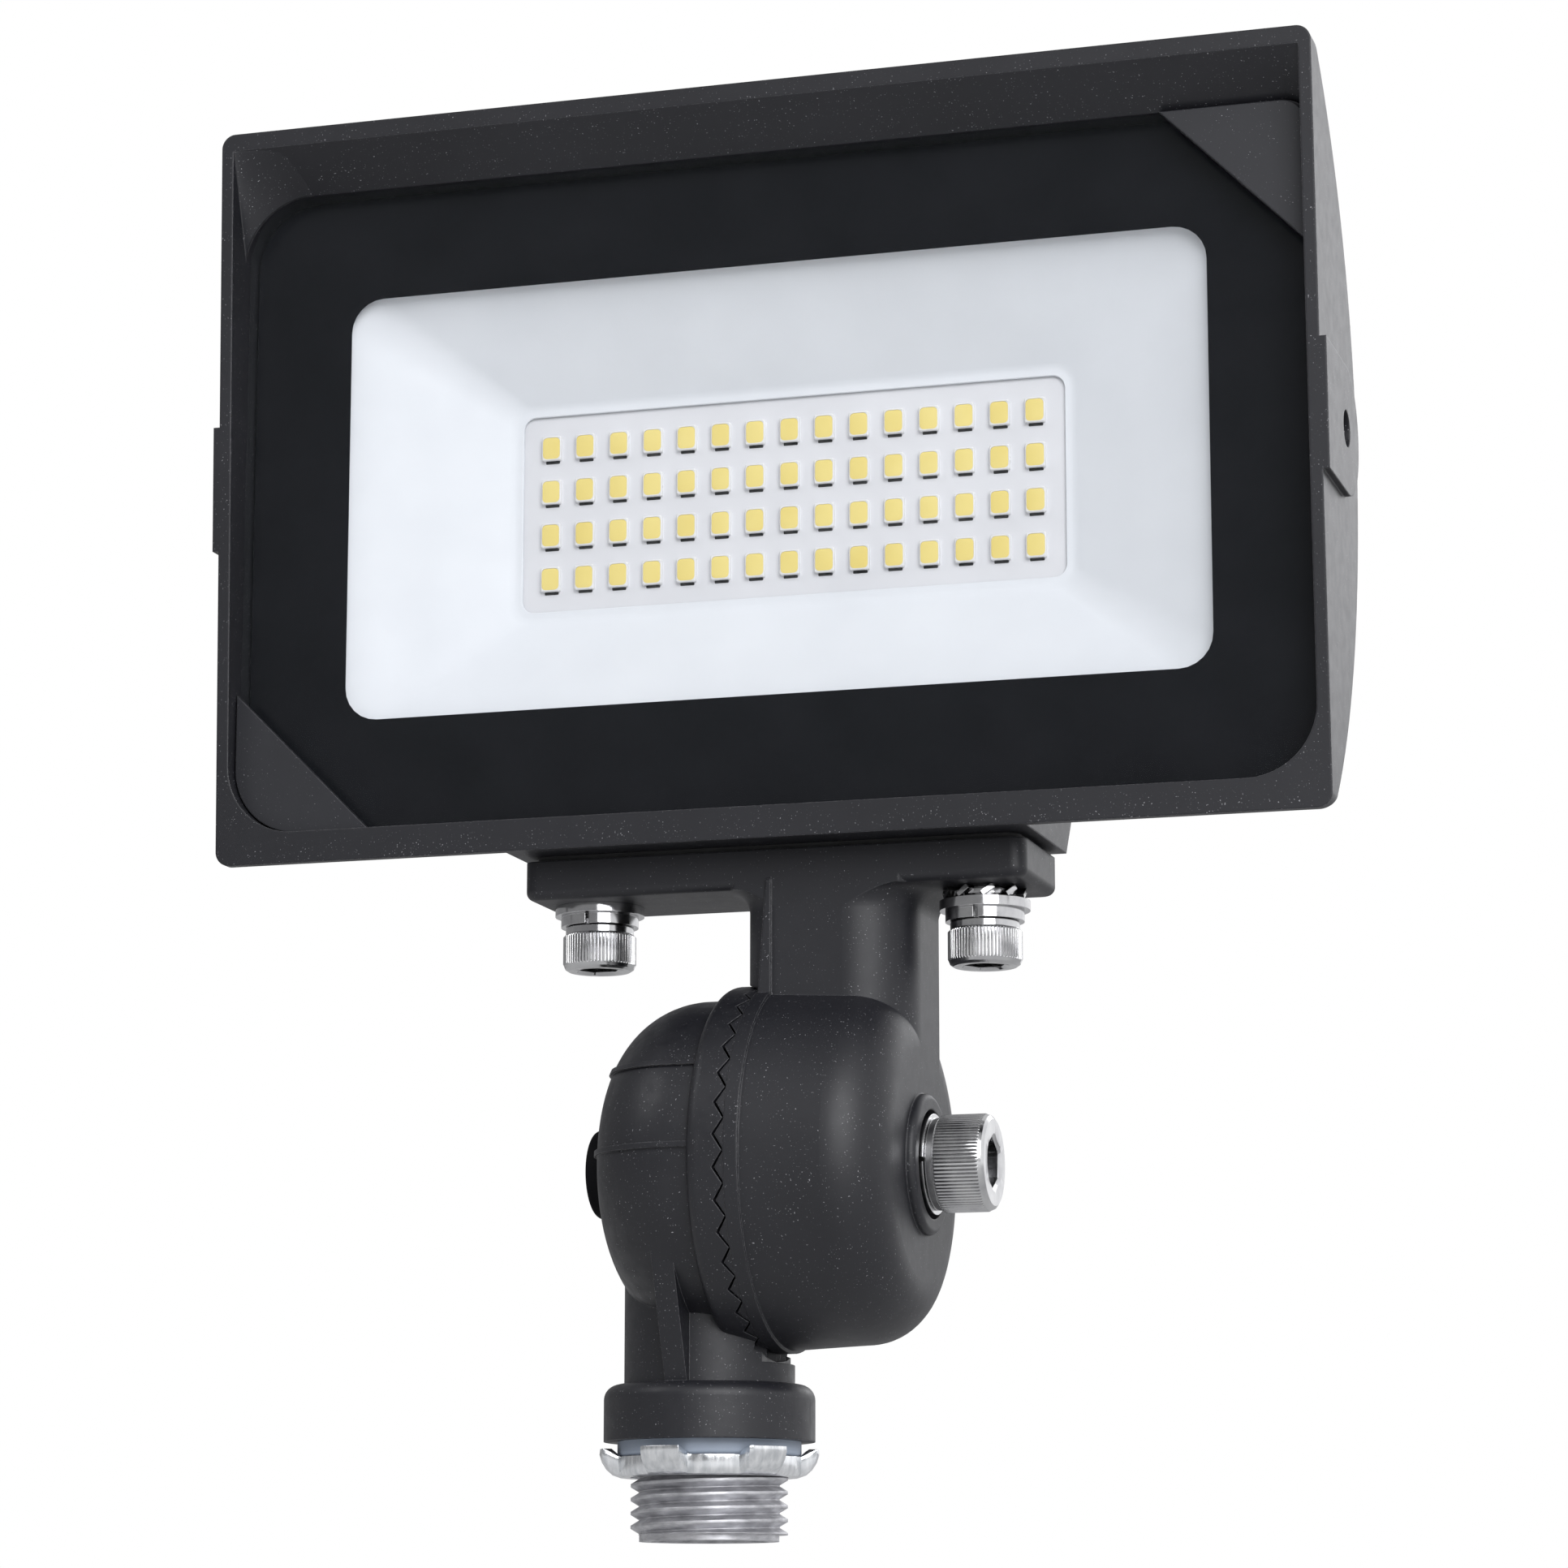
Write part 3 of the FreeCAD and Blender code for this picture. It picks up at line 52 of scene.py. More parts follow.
# photograph's camera, fitted to the object: pixels, radians and metres
IMAGE_PIXELS = 1932
FOCAL_PIXELS = 5600.0
SENSOR_MM = 36.0
CAMERA_YAW = math.radians(16.818)
CAMERA_RISE = math.radians(10.936)
CAMERA_PLACE = Vector((0.186136, -0.581562, -0.028743))

# floor, backdrop and lamps: metres, watts and levels of light
FLOOR_HEIGHT = -0.036
FLOOR_SIDE = 6.0
FLOOR_GREY = (0.6, 0.6, 0.6, 1.0)
FLOOR_ROUGHNESS = 0.8
FRONT_AMBIENT = 0.32
BACKDROP_LIGHT = 1.15
BACKDROP_SIDE = Vector((0.9, 0.44, 0.0))
BACKDROP_REACH = 0.65
LIGHT_COLOUR = (0.975, 0.98, 1.0)
LAMP_TARGET = Vector((0.01, 0.0, 0.10))
# name, place, side and power of each lamp
LAMPS = (
    ("key", (0.65, -1.10, 0.65), 0.90, 16.0),
    ("fill", (-0.85, -0.65, 0.95), 0.45, 2.6),
    ("side", (0.30, 0.95, 0.45), 0.35, 0.95),
)

# noise in the finishes: the levels between which most of it lies, its detail and its stretch
NOISE_SPREAD = (0.3, 0.7)
NOISE_DETAIL = 3.0
EVEN_STRETCH = (1.0, 1.0, 1.0)

# eased edges and plain tones in the finishes
BEVEL_SAMPLES = 6
BLACK = (0.0, 0.0, 0.0)
WHITE = (1.0, 1.0, 1.0)

# powder coat: tones, metres, and noise in waves to the metre
COAT_TONES = ((0.0080, 0.0082, 0.0112), (0.0112, 0.0114, 0.0150))
COAT_SPREAD = (0.35, 0.65)
COAT_DRIFT = 45.0
COAT_GLOSS_DRIFT = 500.0
COAT_ROUGHNESS = (0.47, 0.51)
COAT_GRAIN = 2600.0
COAT_GRAIN_DEPTH = 0.03 * MM
COAT_GRAIN_STRENGTH = 0.15
COAT_EDGE = 0.35 * MM
CLIP_TONES = ((0.015, 0.0155, 0.019), (0.018, 0.0185, 0.023))
CLIP_EDGE = 0.2 * MM
# sparse pale flecks: painted glints standing for the coat's metal flakes catching the light
GLINT_FLECK_GRAIN = 5200.0
GLINT_FLECK_DETAIL = 0.0
GLINT_FLECK_SPREAD = (0.77, 0.83)
GLINT_FLECK_DRIFT = 400.0
GLINT_FLECK_TONES = ((0.02, 0.02, 0.022), (0.35, 0.35, 0.37))
# lighter edges: a painted highlight where the coat's edges catch the light
EDGE_HIGHLIGHT_GRAIN = 2500.0
EDGE_HIGHLIGHT_TONES = ((0.03, 0.03, 0.033), (0.20, 0.20, 0.21))
EDGE_HIGHLIGHT_RADIUS = 0.12 * MM
PALE_SPREAD = (0.35, 0.7)
EDGE_AGREEMENT = (0.98, 0.80)

# lower knuckle, coated above its seat and bare on its nipple
BARE_BELOW = -0.05 * MM
BARE_TONES = ((0.40, 0.40, 0.42), (0.68, 0.68, 0.70))
BARE_STREAKS = 500.0
BARE_STRETCH = (1.0, 1.0, 3.0)
KNUCKLE_ROUGHNESS = (0.40, 0.52)
KNUCKLE_GRAIN = 1500.0
KNUCKLE_GRAIN_DEPTH = 0.05 * MM
KNUCKLE_GRAIN_STRENGTH = 0.2
KNUCKLE_EDGE = 0.2 * MM

# metals, matte finishes and glass
METAL_DETAIL = 4.0
METAL_STREAKS = 300.0
METAL_GRAIN = 1800.0
METAL_GRAIN_DEPTH = 0.01 * MM
METAL_GRAIN_STRENGTH = 0.15
METAL_EDGE = 0.12 * MM
ZINC_STREAKS = 1400.0
ZINC_STRETCH = (1.0, 1.0, 0.25)
MATTE_DRIFT = 80.0
MATTE_GLOSS_DRIFT = 300.0
MATTE_GRAIN = 700.0
MATTE_GRAIN_DEPTH = 0.03 * MM
MATTE_GRAIN_STRENGTH = 0.25
GLASS_TONES = ((0.05, 0.06, 0.06), (0.07, 0.08, 0.08))
GLASS_DRIFT = 20.0
GLASS_GLOSS_DRIFT = 120.0
GLASS_ROUGHNESS = (0.02, 0.05)

# tilt knuckle, in millimetres; a tooth fills a share of its valley's width
TOOTH_COUNT = 36
TOOTH_PLANE = 9.3
TOOTH_DEPTH = 1.4
TOOTH_GAP = 0.42
JOINT_GAP = 0.15
RIM_RADIUS = 24.6
TOOTH_INNER_RADIUS = 17.4
TOOTH_ROOT = 0.3
TOOTH_FILL = 0.88
TOOTH_SETBACK = 0.02

# steps in a rounded corner
CORNER_STEPS = 6

# printed glass, in millimetres
WINDOW_HALF = (61.0, 30.15)
WINDOW_CORNER = 4.7
WINDOW_MIDDLE = 129.0
PRINT_THICK = 0.04
PRINT_DEPTH = 0.06
PRINT_MARGIN = 0.02
GLASS_CORNER = 9.2

# reflector tray, in millimetres
LED_OPENING = (39.02, 14.08)
REFLECTOR_SKIN = 1.0
FLOOR_SKIN = 0.3
FLANGE_CORNER = 3.0
MOUTH_MARGIN = 0.8
MOUTH_CORNER = 5.6
LIP_WIDTH = 0.4
LIP_DEPTH = 0.15
LIP_CORNER = 5.3
FLOOR_MARGIN = 1.45
FLOOR_CORNER = 3.2
OPENING_CORNER = 1.8
# walls from mouth to floor: share of the way in, share of the depth, corner radius
WALL_ROWS = ((0.03, 0.06, 5.1), (0.5, 0.52, 4.0), (0.93, 0.90, 3.1), (0.98, 0.96, 2.9))
# fillet at the floor: inset from the floor's edge, height over the floor, corner radius
FILLET_ROWS = ((0.25, 0.06, 2.7), (0.7, 0.0, 2.5))
# eased edge of the opening: growth, depth below the floor, corner radius
OPENING_ROWS = ((0.08, 0.0, 1.9), (0.0, 0.08, OPENING_CORNER))

# hood over the glass, in millimetres, with rows as shares of the way from ledge to front
HOOD_LEFT = -64.35
HOOD_RIGHT = 86.75
RECESS_CORNER = 9.5
HOOD_CORNER = 3.0
HOOD_ROWS = (0.0, 0.33, 0.66, 1.0)
HOOD_SINK = 0.05
HOOD_STEPS = 12
LEDGE_LOW = Vector((0.0, -15.0, 164.6))
LEDGE_HIGH = Vector((0.0, -13.8, 174.1))
HOOD_FRONT = Vector((0.0, -20.1, 179.7))

# upper clip, in millimetres; its sharp corners move in by the ease times the edge's rounding
CLIP_STEPS = 6
CLIP_ROUND = 0.15
CLIP_EASE = 2.4

# light chips, in millimetres
LED_COLUMNS = 15
LED_ROWS = 4
LED_PITCH = (4.975, 6.287)
LED_HALF = (1.4, 1.75)
LED_CORNER = 0.25
LED_STEPS = 3
LED_EASE_WIDTH = 0.1
LED_EASE_DEPTH = 0.12
PHOSPHOR_HALF = (1.27, 1.55)
PHOSPHOR_CORNER = 0.6
PHOSPHOR_RECESS = 0.15
# phosphor from its foot to its crown: inset, depth below the package's front, corner radius
PHOSPHOR_ROWS = ((0.02, 0.14, PHOSPHOR_CORNER), (0.02, 0.06, PHOSPHOR_CORNER), (0.25, 0.02, 0.36))
SOLDER_DROP = 0.1
# solder bead from the board up: half sizes, corner radius, rise
SOLDER_ROWS = (((1.02, 0.26), 0.12, 0.0), ((0.98, 0.20), 0.10, 0.14), ((0.92, 0.12), 0.08, 0.24))

# cap screws, in millimetres; the socket's mouth is a share of its width
M6 = {"shank": 3.0, "head": 5.0, "height": 6.0, "socket": 5.0, "ridges": 64}
M8 = {"shank": 4.0, "head": 6.5, "height": 8.0, "socket": 6.0, "ridges": 80}
TIP_CHAMFER = 0.6
SEAT_BAND = 1.0
SEAT_GROOVE = 0.18
KNURL_STEPS = 4
KNURL_DEPTH = 0.34
KNURL_RUNOUT = 0.25
END_CHAMFER = 0.75
SOCKET_MOUTH = 0.64
SOCKET_CHAMFER = 0.3
SOCKET_POINT_RADIUS = 0.4
SOCKET_POINT_DEPTH = 0.8
# band at the head's seat: inset from the head's radius, height over the seat
SEAT_ROWS = ((0.55, 0.0), (0.35, 0.15), (0.35, SEAT_BAND), (0.2, SEAT_BAND + SEAT_GROOVE))
# eased end of the head: inset from the head's radius, depth below the end
END_ROWS = ((0.12, END_CHAMFER), (0.3, 0.3), (0.75, 0.0))

# stamped locknut, in millimetres and degrees
NUT_LUGS = 6
NUT_LUG_TURN = 20.5
NUT_LUG_HALF = 11.3
NUT_LUG_FOOT = 14.2
NUT_STEPS = 240
NUT_BORE = 10.55
NUT_SHEET = 1.0
# sections from the bore's foot out and back to the bore's seat: radius, level, height over that level
LUG_SECTION = (
    (NUT_BORE, "foot", 0.0), (11.9, "foot", 0.0), (12.9, "foot", 0.35), (13.7, "foot", 1.05),
    (14.3, "foot", 2.0), (14.62, "top", -0.7), (14.55, "top", 0.0), (13.35, "top", 0.0),
    (13.0, "seat", 0.3), (12.6, "seat", 0.0), (NUT_BORE, "seat", 0.0),
)
NOTCH_SECTION = (
    (NUT_BORE, "foot", 0.0), (11.7, "foot", 0.0), (12.1, "foot", 0.15), (12.3, "foot", 0.45),
    (12.4, "foot", 1.0), (12.42, "seat", -0.5), (12.4, "seat", -0.1), (12.3, "seat", 0.0),
    (12.1, "seat", 0.0), (11.9, "seat", 0.0), (NUT_BORE, "seat", 0.0),
)


# finishes

def new_finish(name, **values):
    """A material, its node tree and its shader with plain values set on the shader's own sockets."""
    finish = bpy.data.materials.new(name)
    finish.use_nodes = True
    tree = finish.node_tree
    shader = tree.nodes["Principled BSDF"]
    for label, value in values.items():
        shader.inputs[label.replace("_", " ")].default_value = value
    return finish, tree, shader


def own_place(tree):
    """The surface's place in the part's frame, in metres."""
    return tree.nodes.new("ShaderNodeTexCoord").outputs["Object"]


def noise(tree, scale, detail=NOISE_DETAIL, stretch=EVEN_STRETCH):
    """Noise of so many waves to the metre, drawn out along an axis where stretch is small."""
    node = tree.nodes.new("ShaderNodeTexNoise")
    node.inputs["Scale"].default_value = scale
    node.inputs["Detail"].default_value = detail
    mapping = tree.nodes.new("ShaderNodeMapping")
    mapping.inputs["Scale"].default_value = stretch
    tree.links.new(own_place(tree), mapping.inputs["Vector"])
    tree.links.new(mapping.outputs["Vector"], node.inputs["Vector"])
    return node.outputs["Fac"]


def between(tree, value, colours, spread=NOISE_SPREAD):
    """A colour between two, by where a value lies in a spread of levels."""
    node = tree.nodes.new("ShaderNodeValToRGB")
    for element, level, colour in zip(node.color_ramp.elements, spread, colours):
        element.position = level
        element.color = (*colour, 1.0)
    tree.links.new(value, node.inputs["Fac"])
    return node.outputs["Color"]


def map_range(tree, value, target, source=NOISE_SPREAD, kind="LINEAR"):
    """A value mapped to a target range from a source range, which is the usual spread of noise."""
    node = tree.nodes.new("ShaderNodeMapRange")
    node.interpolation_type = kind
    for label, number in zip(("From Min", "From Max", "To Min", "To Max"), (*source, *target)):
        node.inputs[label].default_value = number
    tree.links.new(value, node.inputs["Value"])
    return node.outputs["Result"]


def mixed(tree, share, one, two):
    """Two colours mixed by a share, on the colour sockets of a mix node."""
    node = tree.nodes.new("ShaderNodeMix")
    node.data_type = "RGBA"
    for socket, link in ((0, share), (6, one), (7, two)):
        tree.links.new(link, node.inputs[socket])
    return node.outputs[2]


def eased_normal(tree, radius):
    """The surface's direction with its edges eased by a radius."""
    bevel = tree.nodes.new("ShaderNodeBevel")
    bevel.samples = BEVEL_SAMPLES
    bevel.inputs["Radius"].default_value = radius
    return bevel.outputs["Normal"]


def bumped(tree, shader, grain, depth, strength, edge=0.0):
    """Relief of so many waves to the metre and a depth in metres, with edges eased by a radius."""
    bump = tree.nodes.new("ShaderNodeBump")
    bump.inputs["Distance"].default_value = depth
    bump.inputs["Strength"].default_value = strength
    tree.links.new(noise(tree, grain), bump.inputs["Height"])
    if edge:
        tree.links.new(eased_normal(tree, edge), bump.inputs["Normal"])
    tree.links.new(bump.outputs["Normal"], shader.inputs["Normal"])


def edge_share(tree, radius):
    """How far the surface turns within a small radius: none on a flat face, one on a sharp edge."""
    agree = tree.nodes.new("ShaderNodeVectorMath")
    agree.operation = "DOT_PRODUCT"
    tree.links.new(eased_normal(tree, radius), agree.inputs[0])
    tree.links.new(tree.nodes.new("ShaderNodeNewGeometry").outputs["Normal"], agree.inputs[1])
    return map_range(tree, agree.outputs["Value"], (0.0, 1.0), EDGE_AGREEMENT)


def coat_colour(tree, tones):
    """Powder-coat grey with a slow drift of tone, sparse pale flecks painted as glints of its metal flakes,
    and a painted highlight along its edges.
    """
    drift = between(tree, noise(tree, COAT_DRIFT), tones, COAT_SPREAD)
    # pale flecks painted as glints of the coat's metal flakes
    glint_flecks = between(tree, noise(tree, GLINT_FLECK_GRAIN, GLINT_FLECK_DETAIL), (BLACK, WHITE), GLINT_FLECK_SPREAD)
    pale = between(tree, noise(tree, GLINT_FLECK_DRIFT), GLINT_FLECK_TONES, PALE_SPREAD)
    # lighter edges painted as a highlight where the coat's edges catch the light
    edge_highlight = between(tree, noise(tree, EDGE_HIGHLIGHT_GRAIN), EDGE_HIGHLIGHT_TONES, PALE_SPREAD)
    return mixed(tree, edge_share(tree, EDGE_HIGHLIGHT_RADIUS), mixed(tree, glint_flecks, drift, pale), edge_highlight)


def powder_coat(name, tones, edge=COAT_EDGE):
    """Charcoal powder coat with a fine orange-peel relief."""
    finish, tree, shader = new_finish(name, Specular_IOR_Level=0.5)
    tree.links.new(coat_colour(tree, tones), shader.inputs["Base Color"])
    roughness = map_range(tree, noise(tree, COAT_GLOSS_DRIFT), COAT_ROUGHNESS)
    tree.links.new(roughness, shader.inputs["Roughness"])
    bumped(tree, shader, COAT_GRAIN, COAT_GRAIN_DEPTH, COAT_GRAIN_STRENGTH, edge)
    return finish


def cast_and_bare(name, tones):
    """Powder coat above the collar's seat, bare machined metal on the threaded nipple below it."""
    finish, tree, shader = new_finish(name)
    split = tree.nodes.new("ShaderNodeSeparateXYZ")
    tree.links.new(own_place(tree), split.inputs["Vector"])
    below = tree.nodes.new("ShaderNodeMath")
    below.operation = "LESS_THAN"
    below.inputs[1].default_value = BARE_BELOW
    tree.links.new(split.outputs["Z"], below.inputs[0])
    bare = below.outputs["Value"]
    machined = between(tree, noise(tree, BARE_STREAKS, METAL_DETAIL, BARE_STRETCH), BARE_TONES)
    tree.links.new(mixed(tree, bare, coat_colour(tree, tones), machined), shader.inputs["Base Color"])
    tree.links.new(bare, shader.inputs["Metallic"])
    roughness = map_range(tree, noise(tree, COAT_GLOSS_DRIFT), KNUCKLE_ROUGHNESS)
    tree.links.new(roughness, shader.inputs["Roughness"])
    bumped(tree, shader, KNUCKLE_GRAIN, KNUCKLE_GRAIN_DEPTH, KNUCKLE_GRAIN_STRENGTH, KNUCKLE_EDGE)
    return finish


def metal(name, dark, light, rough, stretch=EVEN_STRETCH, scale=METAL_STREAKS, edge=METAL_EDGE):
    """Plated or bare metal with fine streaks in tone and gloss."""
    finish, tree, shader = new_finish(name, Metallic=1.0)
    streaks = noise(tree, scale, METAL_DETAIL, stretch)
    tree.links.new(between(tree, streaks, (dark, light)), shader.inputs["Base Color"])
    tree.links.new(map_range(tree, streaks, rough), shader.inputs["Roughness"])
    bumped(tree, shader, METAL_GRAIN, METAL_GRAIN_DEPTH, METAL_GRAIN_STRENGTH, edge)
    return finish


def matte(name, dark, light, rough, depth=MATTE_GRAIN_DEPTH, **values):
    """Rubber, plastic or paint: a slow drift of tone, and a fine grain unless its depth is none."""
    finish, tree, shader = new_finish(name, **values)
    tree.links.new(between(tree, noise(tree, MATTE_DRIFT), (dark, light)), shader.inputs["Base Color"])
    tree.links.new(map_range(tree, noise(tree, MATTE_GLOSS_DRIFT), rough), shader.inputs["Roughness"])
    if depth:
        bumped(tree, shader, MATTE_GRAIN, depth, MATTE_GRAIN_STRENGTH)
    return finish


def clear_glass(name):
    """Clear flat glass, a thin gloss over what lies behind it."""
    finish, tree, shader = new_finish(name, Alpha=0.05, Specular_IOR_Level=0.3)
    tree.links.new(between(tree, noise(tree, GLASS_DRIFT), GLASS_TONES), shader.inputs["Base Color"])
    roughness = map_range(tree, noise(tree, GLASS_GLOSS_DRIFT), GLASS_ROUGHNESS)
    tree.links.new(roughness, shader.inputs["Roughness"])
    return finish


# each finish has a dark tone, a light tone and a range of roughness
FINISHES = {
    "coat": powder_coat("powder_coat", COAT_TONES),
    "knuckle": cast_and_bare("coat_and_bare_thread", COAT_TONES),
    "clip": powder_coat("clip_coat", CLIP_TONES, CLIP_EDGE),
    "steel": metal("bright_steel", (0.46, 0.46, 0.47), (0.64, 0.64, 0.64), (0.10, 0.20)),
    "zinc": metal("zinc_plate", (0.66, 0.68, 0.70), (0.97, 0.98, 0.99), (0.12, 0.24),
                  ZINC_STRETCH, ZINC_STREAKS),
    "plug": matte("plug_rubber", (0.004, 0.004, 0.005), (0.007, 0.007, 0.008), (0.60, 0.75),
                  Specular_IOR_Level=0.06),
    "ring": matte("ring_rubber", (0.27, 0.315, 0.385), (0.32, 0.37, 0.45), (0.50, 0.65)),
    "seal": matte("seal_rubber", (0.015, 0.015, 0.016), (0.024, 0.024, 0.025), (0.55, 0.70)),
    "print": matte("black_print", (0.006, 0.0065, 0.0085), (0.009, 0.0095, 0.012), (0.10, 0.20),
                   depth=0.0, Specular_IOR_Level=0.2),
    "glass": clear_glass("clear_glass"),
    "reflector": matte("white_reflector", (0.78, 0.81, 0.85), (0.82, 0.85, 0.89), (0.55, 0.70)),
    "board": matte("white_solder_mask", (0.74, 0.75, 0.78), (0.79, 0.80, 0.83), (0.40, 0.55)),
    "package": matte("chip_package", (0.80, 0.80, 0.80), (0.86, 0.86, 0.86), (0.25, 0.40)),
    "phosphor": matte("chip_phosphor", (0.86, 0.70, 0.22), (0.93, 0.79, 0.30), (0.30, 0.45)),
    "solder": metal("dull_solder", (0.03, 0.03, 0.03), (0.09, 0.09, 0.09), (0.35, 0.5), edge=0.0),
    "circuit": matte("circuit_board", (0.02, 0.12, 0.05), (0.04, 0.18, 0.07), (0.30, 0.45)),
    "tape": matte("winding_tape", (0.55, 0.36, 0.04), (0.68, 0.46, 0.07), (0.35, 0.50)),
    "sleeve": matte("can_sleeve", (0.02, 0.03, 0.08), (0.04, 0.05, 0.12), (0.20, 0.35)),
    "ferrite": matte("ferrite", (0.02, 0.02, 0.02), (0.04, 0.04, 0.04), (0.55, 0.75)),
}
NODE_FINISHES = {
    "coat": ("rear_housing", "upper_knuckle"),
    "knuckle": ("lower_knuckle",),
    "clip": ("corner_clip_lower_left",),
    "steel": ("plate_spring_washers", "plate_flat_washers", "plate_star_washer", "knuckle_flat_washer",
              "knuckle_spring_washer", "board_screws", "driver_screws"),
    "plug": ("bolt_plug",),
    "ring": ("sealing_ring",),
    "seal": ("knuckle_seal", "plate_gasket", "lens_gasket"),
    "glass": ("lens_glass",),
    "board": ("led_board",),
    "circuit": ("driver_board",),
    "tape": ("driver_transformer",),
    "sleeve": ("driver_capacitor",),
    "ferrite": ("driver_inductor", "driver_header"),
}


def finish_nodes():
    """Give each solid that stays its finish."""
    for finish, names in NODE_FINISHES.items():
        for name in names:
            for material_slot in NODES[name].material_slots:
                material_slot.material = FINISHES[finish]


# shapes

def add_piece(name, corners, faces, finish, body, slot, stands_for=(), crease=30.0):
    """A closed mesh given in millimetres, which rides on a body and may stand for solids."""
    mesh = bpy.data.meshes.new(name)
    mesh.from_pydata([Vector(corner) * MM for corner in corners], [], faces)
    shape = bmesh.new()
    shape.from_mesh(mesh)
    bmesh.ops.recalc_face_normals(shape, faces=shape.faces)
    shape.to_mesh(mesh)
    shape.free()
    for polygon in mesh.polygons:
        polygon.use_smooth = True
    mesh.set_sharp_from_angle(angle=math.radians(crease))
    mesh.materials.append(FINISHES[finish])
    thing = bpy.data.objects.new(name, mesh)
    bpy.context.scene.collection.objects.link(thing)
    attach(thing, body)
    if stands_for:
        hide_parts(*stands_for)


def skin(loops, start=0, around=False):
    """Faces of a skin through loops of equal length, capped at both ends or joined around."""
    count = len(loops[0])
    faces = []
    last = len(loops) if around else len(loops) - 1
    for row in range(last):
        here = start + row * count
        there = start + (row + 1) % len(loops) * count
        for index in range(count):
            after = (index + 1) % count
            faces.append((here + index, here + after, there + after, there + index))
    if not around:
        faces.append(tuple(range(start, start + count)))
        faces.append(tuple(range(start + (len(loops) - 1) * count, start + len(loops) * count)))
    return faces


def points_of(loops):
    """The points of loops, one loop after another."""
    return [point for loop in loops for point in loop]


def joined(forms):
    """Corners and faces of several capped forms, each given by its loops."""
    corners = []
    faces = []
    for loops in forms:
        faces += skin(loops, len(corners))
        corners += points_of(loops)
    return corners, faces


def grown(half, growth):
    """A rectangle's half sizes, grown on every side."""
    return [side + growth for side in half]


def rounded(half, corner, depth, centre, steps=CORNER_STEPS):
    """A rounded rectangle that faces -Y, as points in the part's frame."""
    points = []
    for quarter, (sign_x, sign_z) in enumerate(((1, 1), (-1, 1), (-1, -1), (1, -1))):
        for step in range(steps + 1):
            angle = (quarter + step / steps) * math.pi / 2
            across = sign_x * (half[0] - corner) + corner * math.cos(angle)
            up = sign_z * (half[1] - corner) + corner * math.sin(angle)
            points.append((centre[0] + across, depth, centre[1] + up))
    return points


def box_mm(name):
    """A solid's corners in millimetres."""
    low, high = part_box(name)
    return low / MM, high / MM


def glass_print():
    """The black border printed on the glass's rear face, round a window with rounded corners."""
    low, high = box_mm("lens_glass")
    centre = ((low.x + high.x) / 2, (low.z + high.z) / 2)
    outer = ((high.x - low.x) / 2 - PRINT_MARGIN, (high.z - low.z) / 2 - PRINT_MARGIN)
    window_centre = (centre[0], WINDOW_MIDDLE)
    front = high.y - PRINT_DEPTH
    loops = [
        rounded(outer, GLASS_CORNER, front, centre),
        rounded(WINDOW_HALF, WINDOW_CORNER, front, window_centre),
        rounded(WINDOW_HALF, WINDOW_CORNER, front + PRINT_THICK, window_centre),
        rounded(outer, GLASS_CORNER, front + PRINT_THICK, centre),
    ]
    add_piece("glass_print", points_of(loops), skin(loops, around=True), "print", "head", "clip_coat")


def reflector():
    """The white tray: a flange, four eased walls, a filleted floor and the opening for the chips."""
    low, high = box_mm("reflector")
    centre = ((low.x + high.x) / 2, WINDOW_MIDDLE)
    flange = ((high.x - low.x) / 2, (high.z - low.z) / 2)
    front = low.y
    rear = high.y
    mouth = grown(WINDOW_HALF, MOUTH_MARGIN)
    tray_floor = grown(LED_OPENING, FLOOR_MARGIN)
    floor_depth = rear - FLOOR_SKIN
    loops = [
        rounded(flange, FLANGE_CORNER, front, centre),
        rounded(grown(mouth, LIP_WIDTH), MOUTH_CORNER, front, centre),
        rounded(mouth, LIP_CORNER, front + LIP_DEPTH, centre),
    ]
    for inward, deep, corner in WALL_ROWS:
        half = [wide + (narrow - wide) * inward for wide, narrow in zip(mouth, tray_floor)]
        loops.append(rounded(half, corner, front + (floor_depth - front) * deep, centre))
    for inset, rise, corner in FILLET_ROWS:
        loops.append(rounded(grown(tray_floor, -inset), corner, floor_depth - rise, centre))
    for growth, drop, corner in OPENING_ROWS:
        loops.append(rounded(grown(LED_OPENING, growth), corner, floor_depth + drop, centre))
    loops += [
        rounded(LED_OPENING, OPENING_CORNER, rear, centre),
        rounded(grown(tray_floor, REFLECTOR_SKIN), FLOOR_CORNER, rear, centre),
        rounded(grown(mouth, REFLECTOR_SKIN), MOUTH_CORNER, front + REFLECTOR_SKIN, centre),
        rounded(flange, FLANGE_CORNER, front + REFLECTOR_SKIN, centre),
    ]
    add_piece("reflector_tray", points_of(loops), skin(loops, around=True), "reflector", "head",
              "reflector_white", ("reflector",), crease=40.0)


def hood_corners():
    """Eased corners under the hood, which run smoothly into it and end in a crease at the side walls."""
    sunk = Vector((0.0, HOOD_SINK, HOOD_SINK))
    forms = []
    for edge, inward, radius in ((HOOD_LEFT, 1, RECESS_CORNER), (HOOD_RIGHT, -1, HOOD_CORNER)):
        start = LEDGE_HIGH.lerp(LEDGE_LOW, radius / RECESS_CORNER)
        loops = []
        for step in range(HOOD_STEPS + 1):
            angle = step / HOOD_STEPS * math.pi / 2
            across = edge + inward * (radius * (1 - math.cos(angle)) if step else -HOOD_SINK)
            ledge = start.lerp(LEDGE_HIGH, math.sin(angle))
            loop = [ledge.lerp(HOOD_FRONT, row) for row in HOOD_ROWS]
            loop += [HOOD_FRONT + sunk, LEDGE_HIGH + sunk]
            loops.append([(across, point.y, point.z) for point in loop])
        forms.append(loops)
    add_piece("hood_corners", *joined(forms), "coat", "head", "cast_coat")


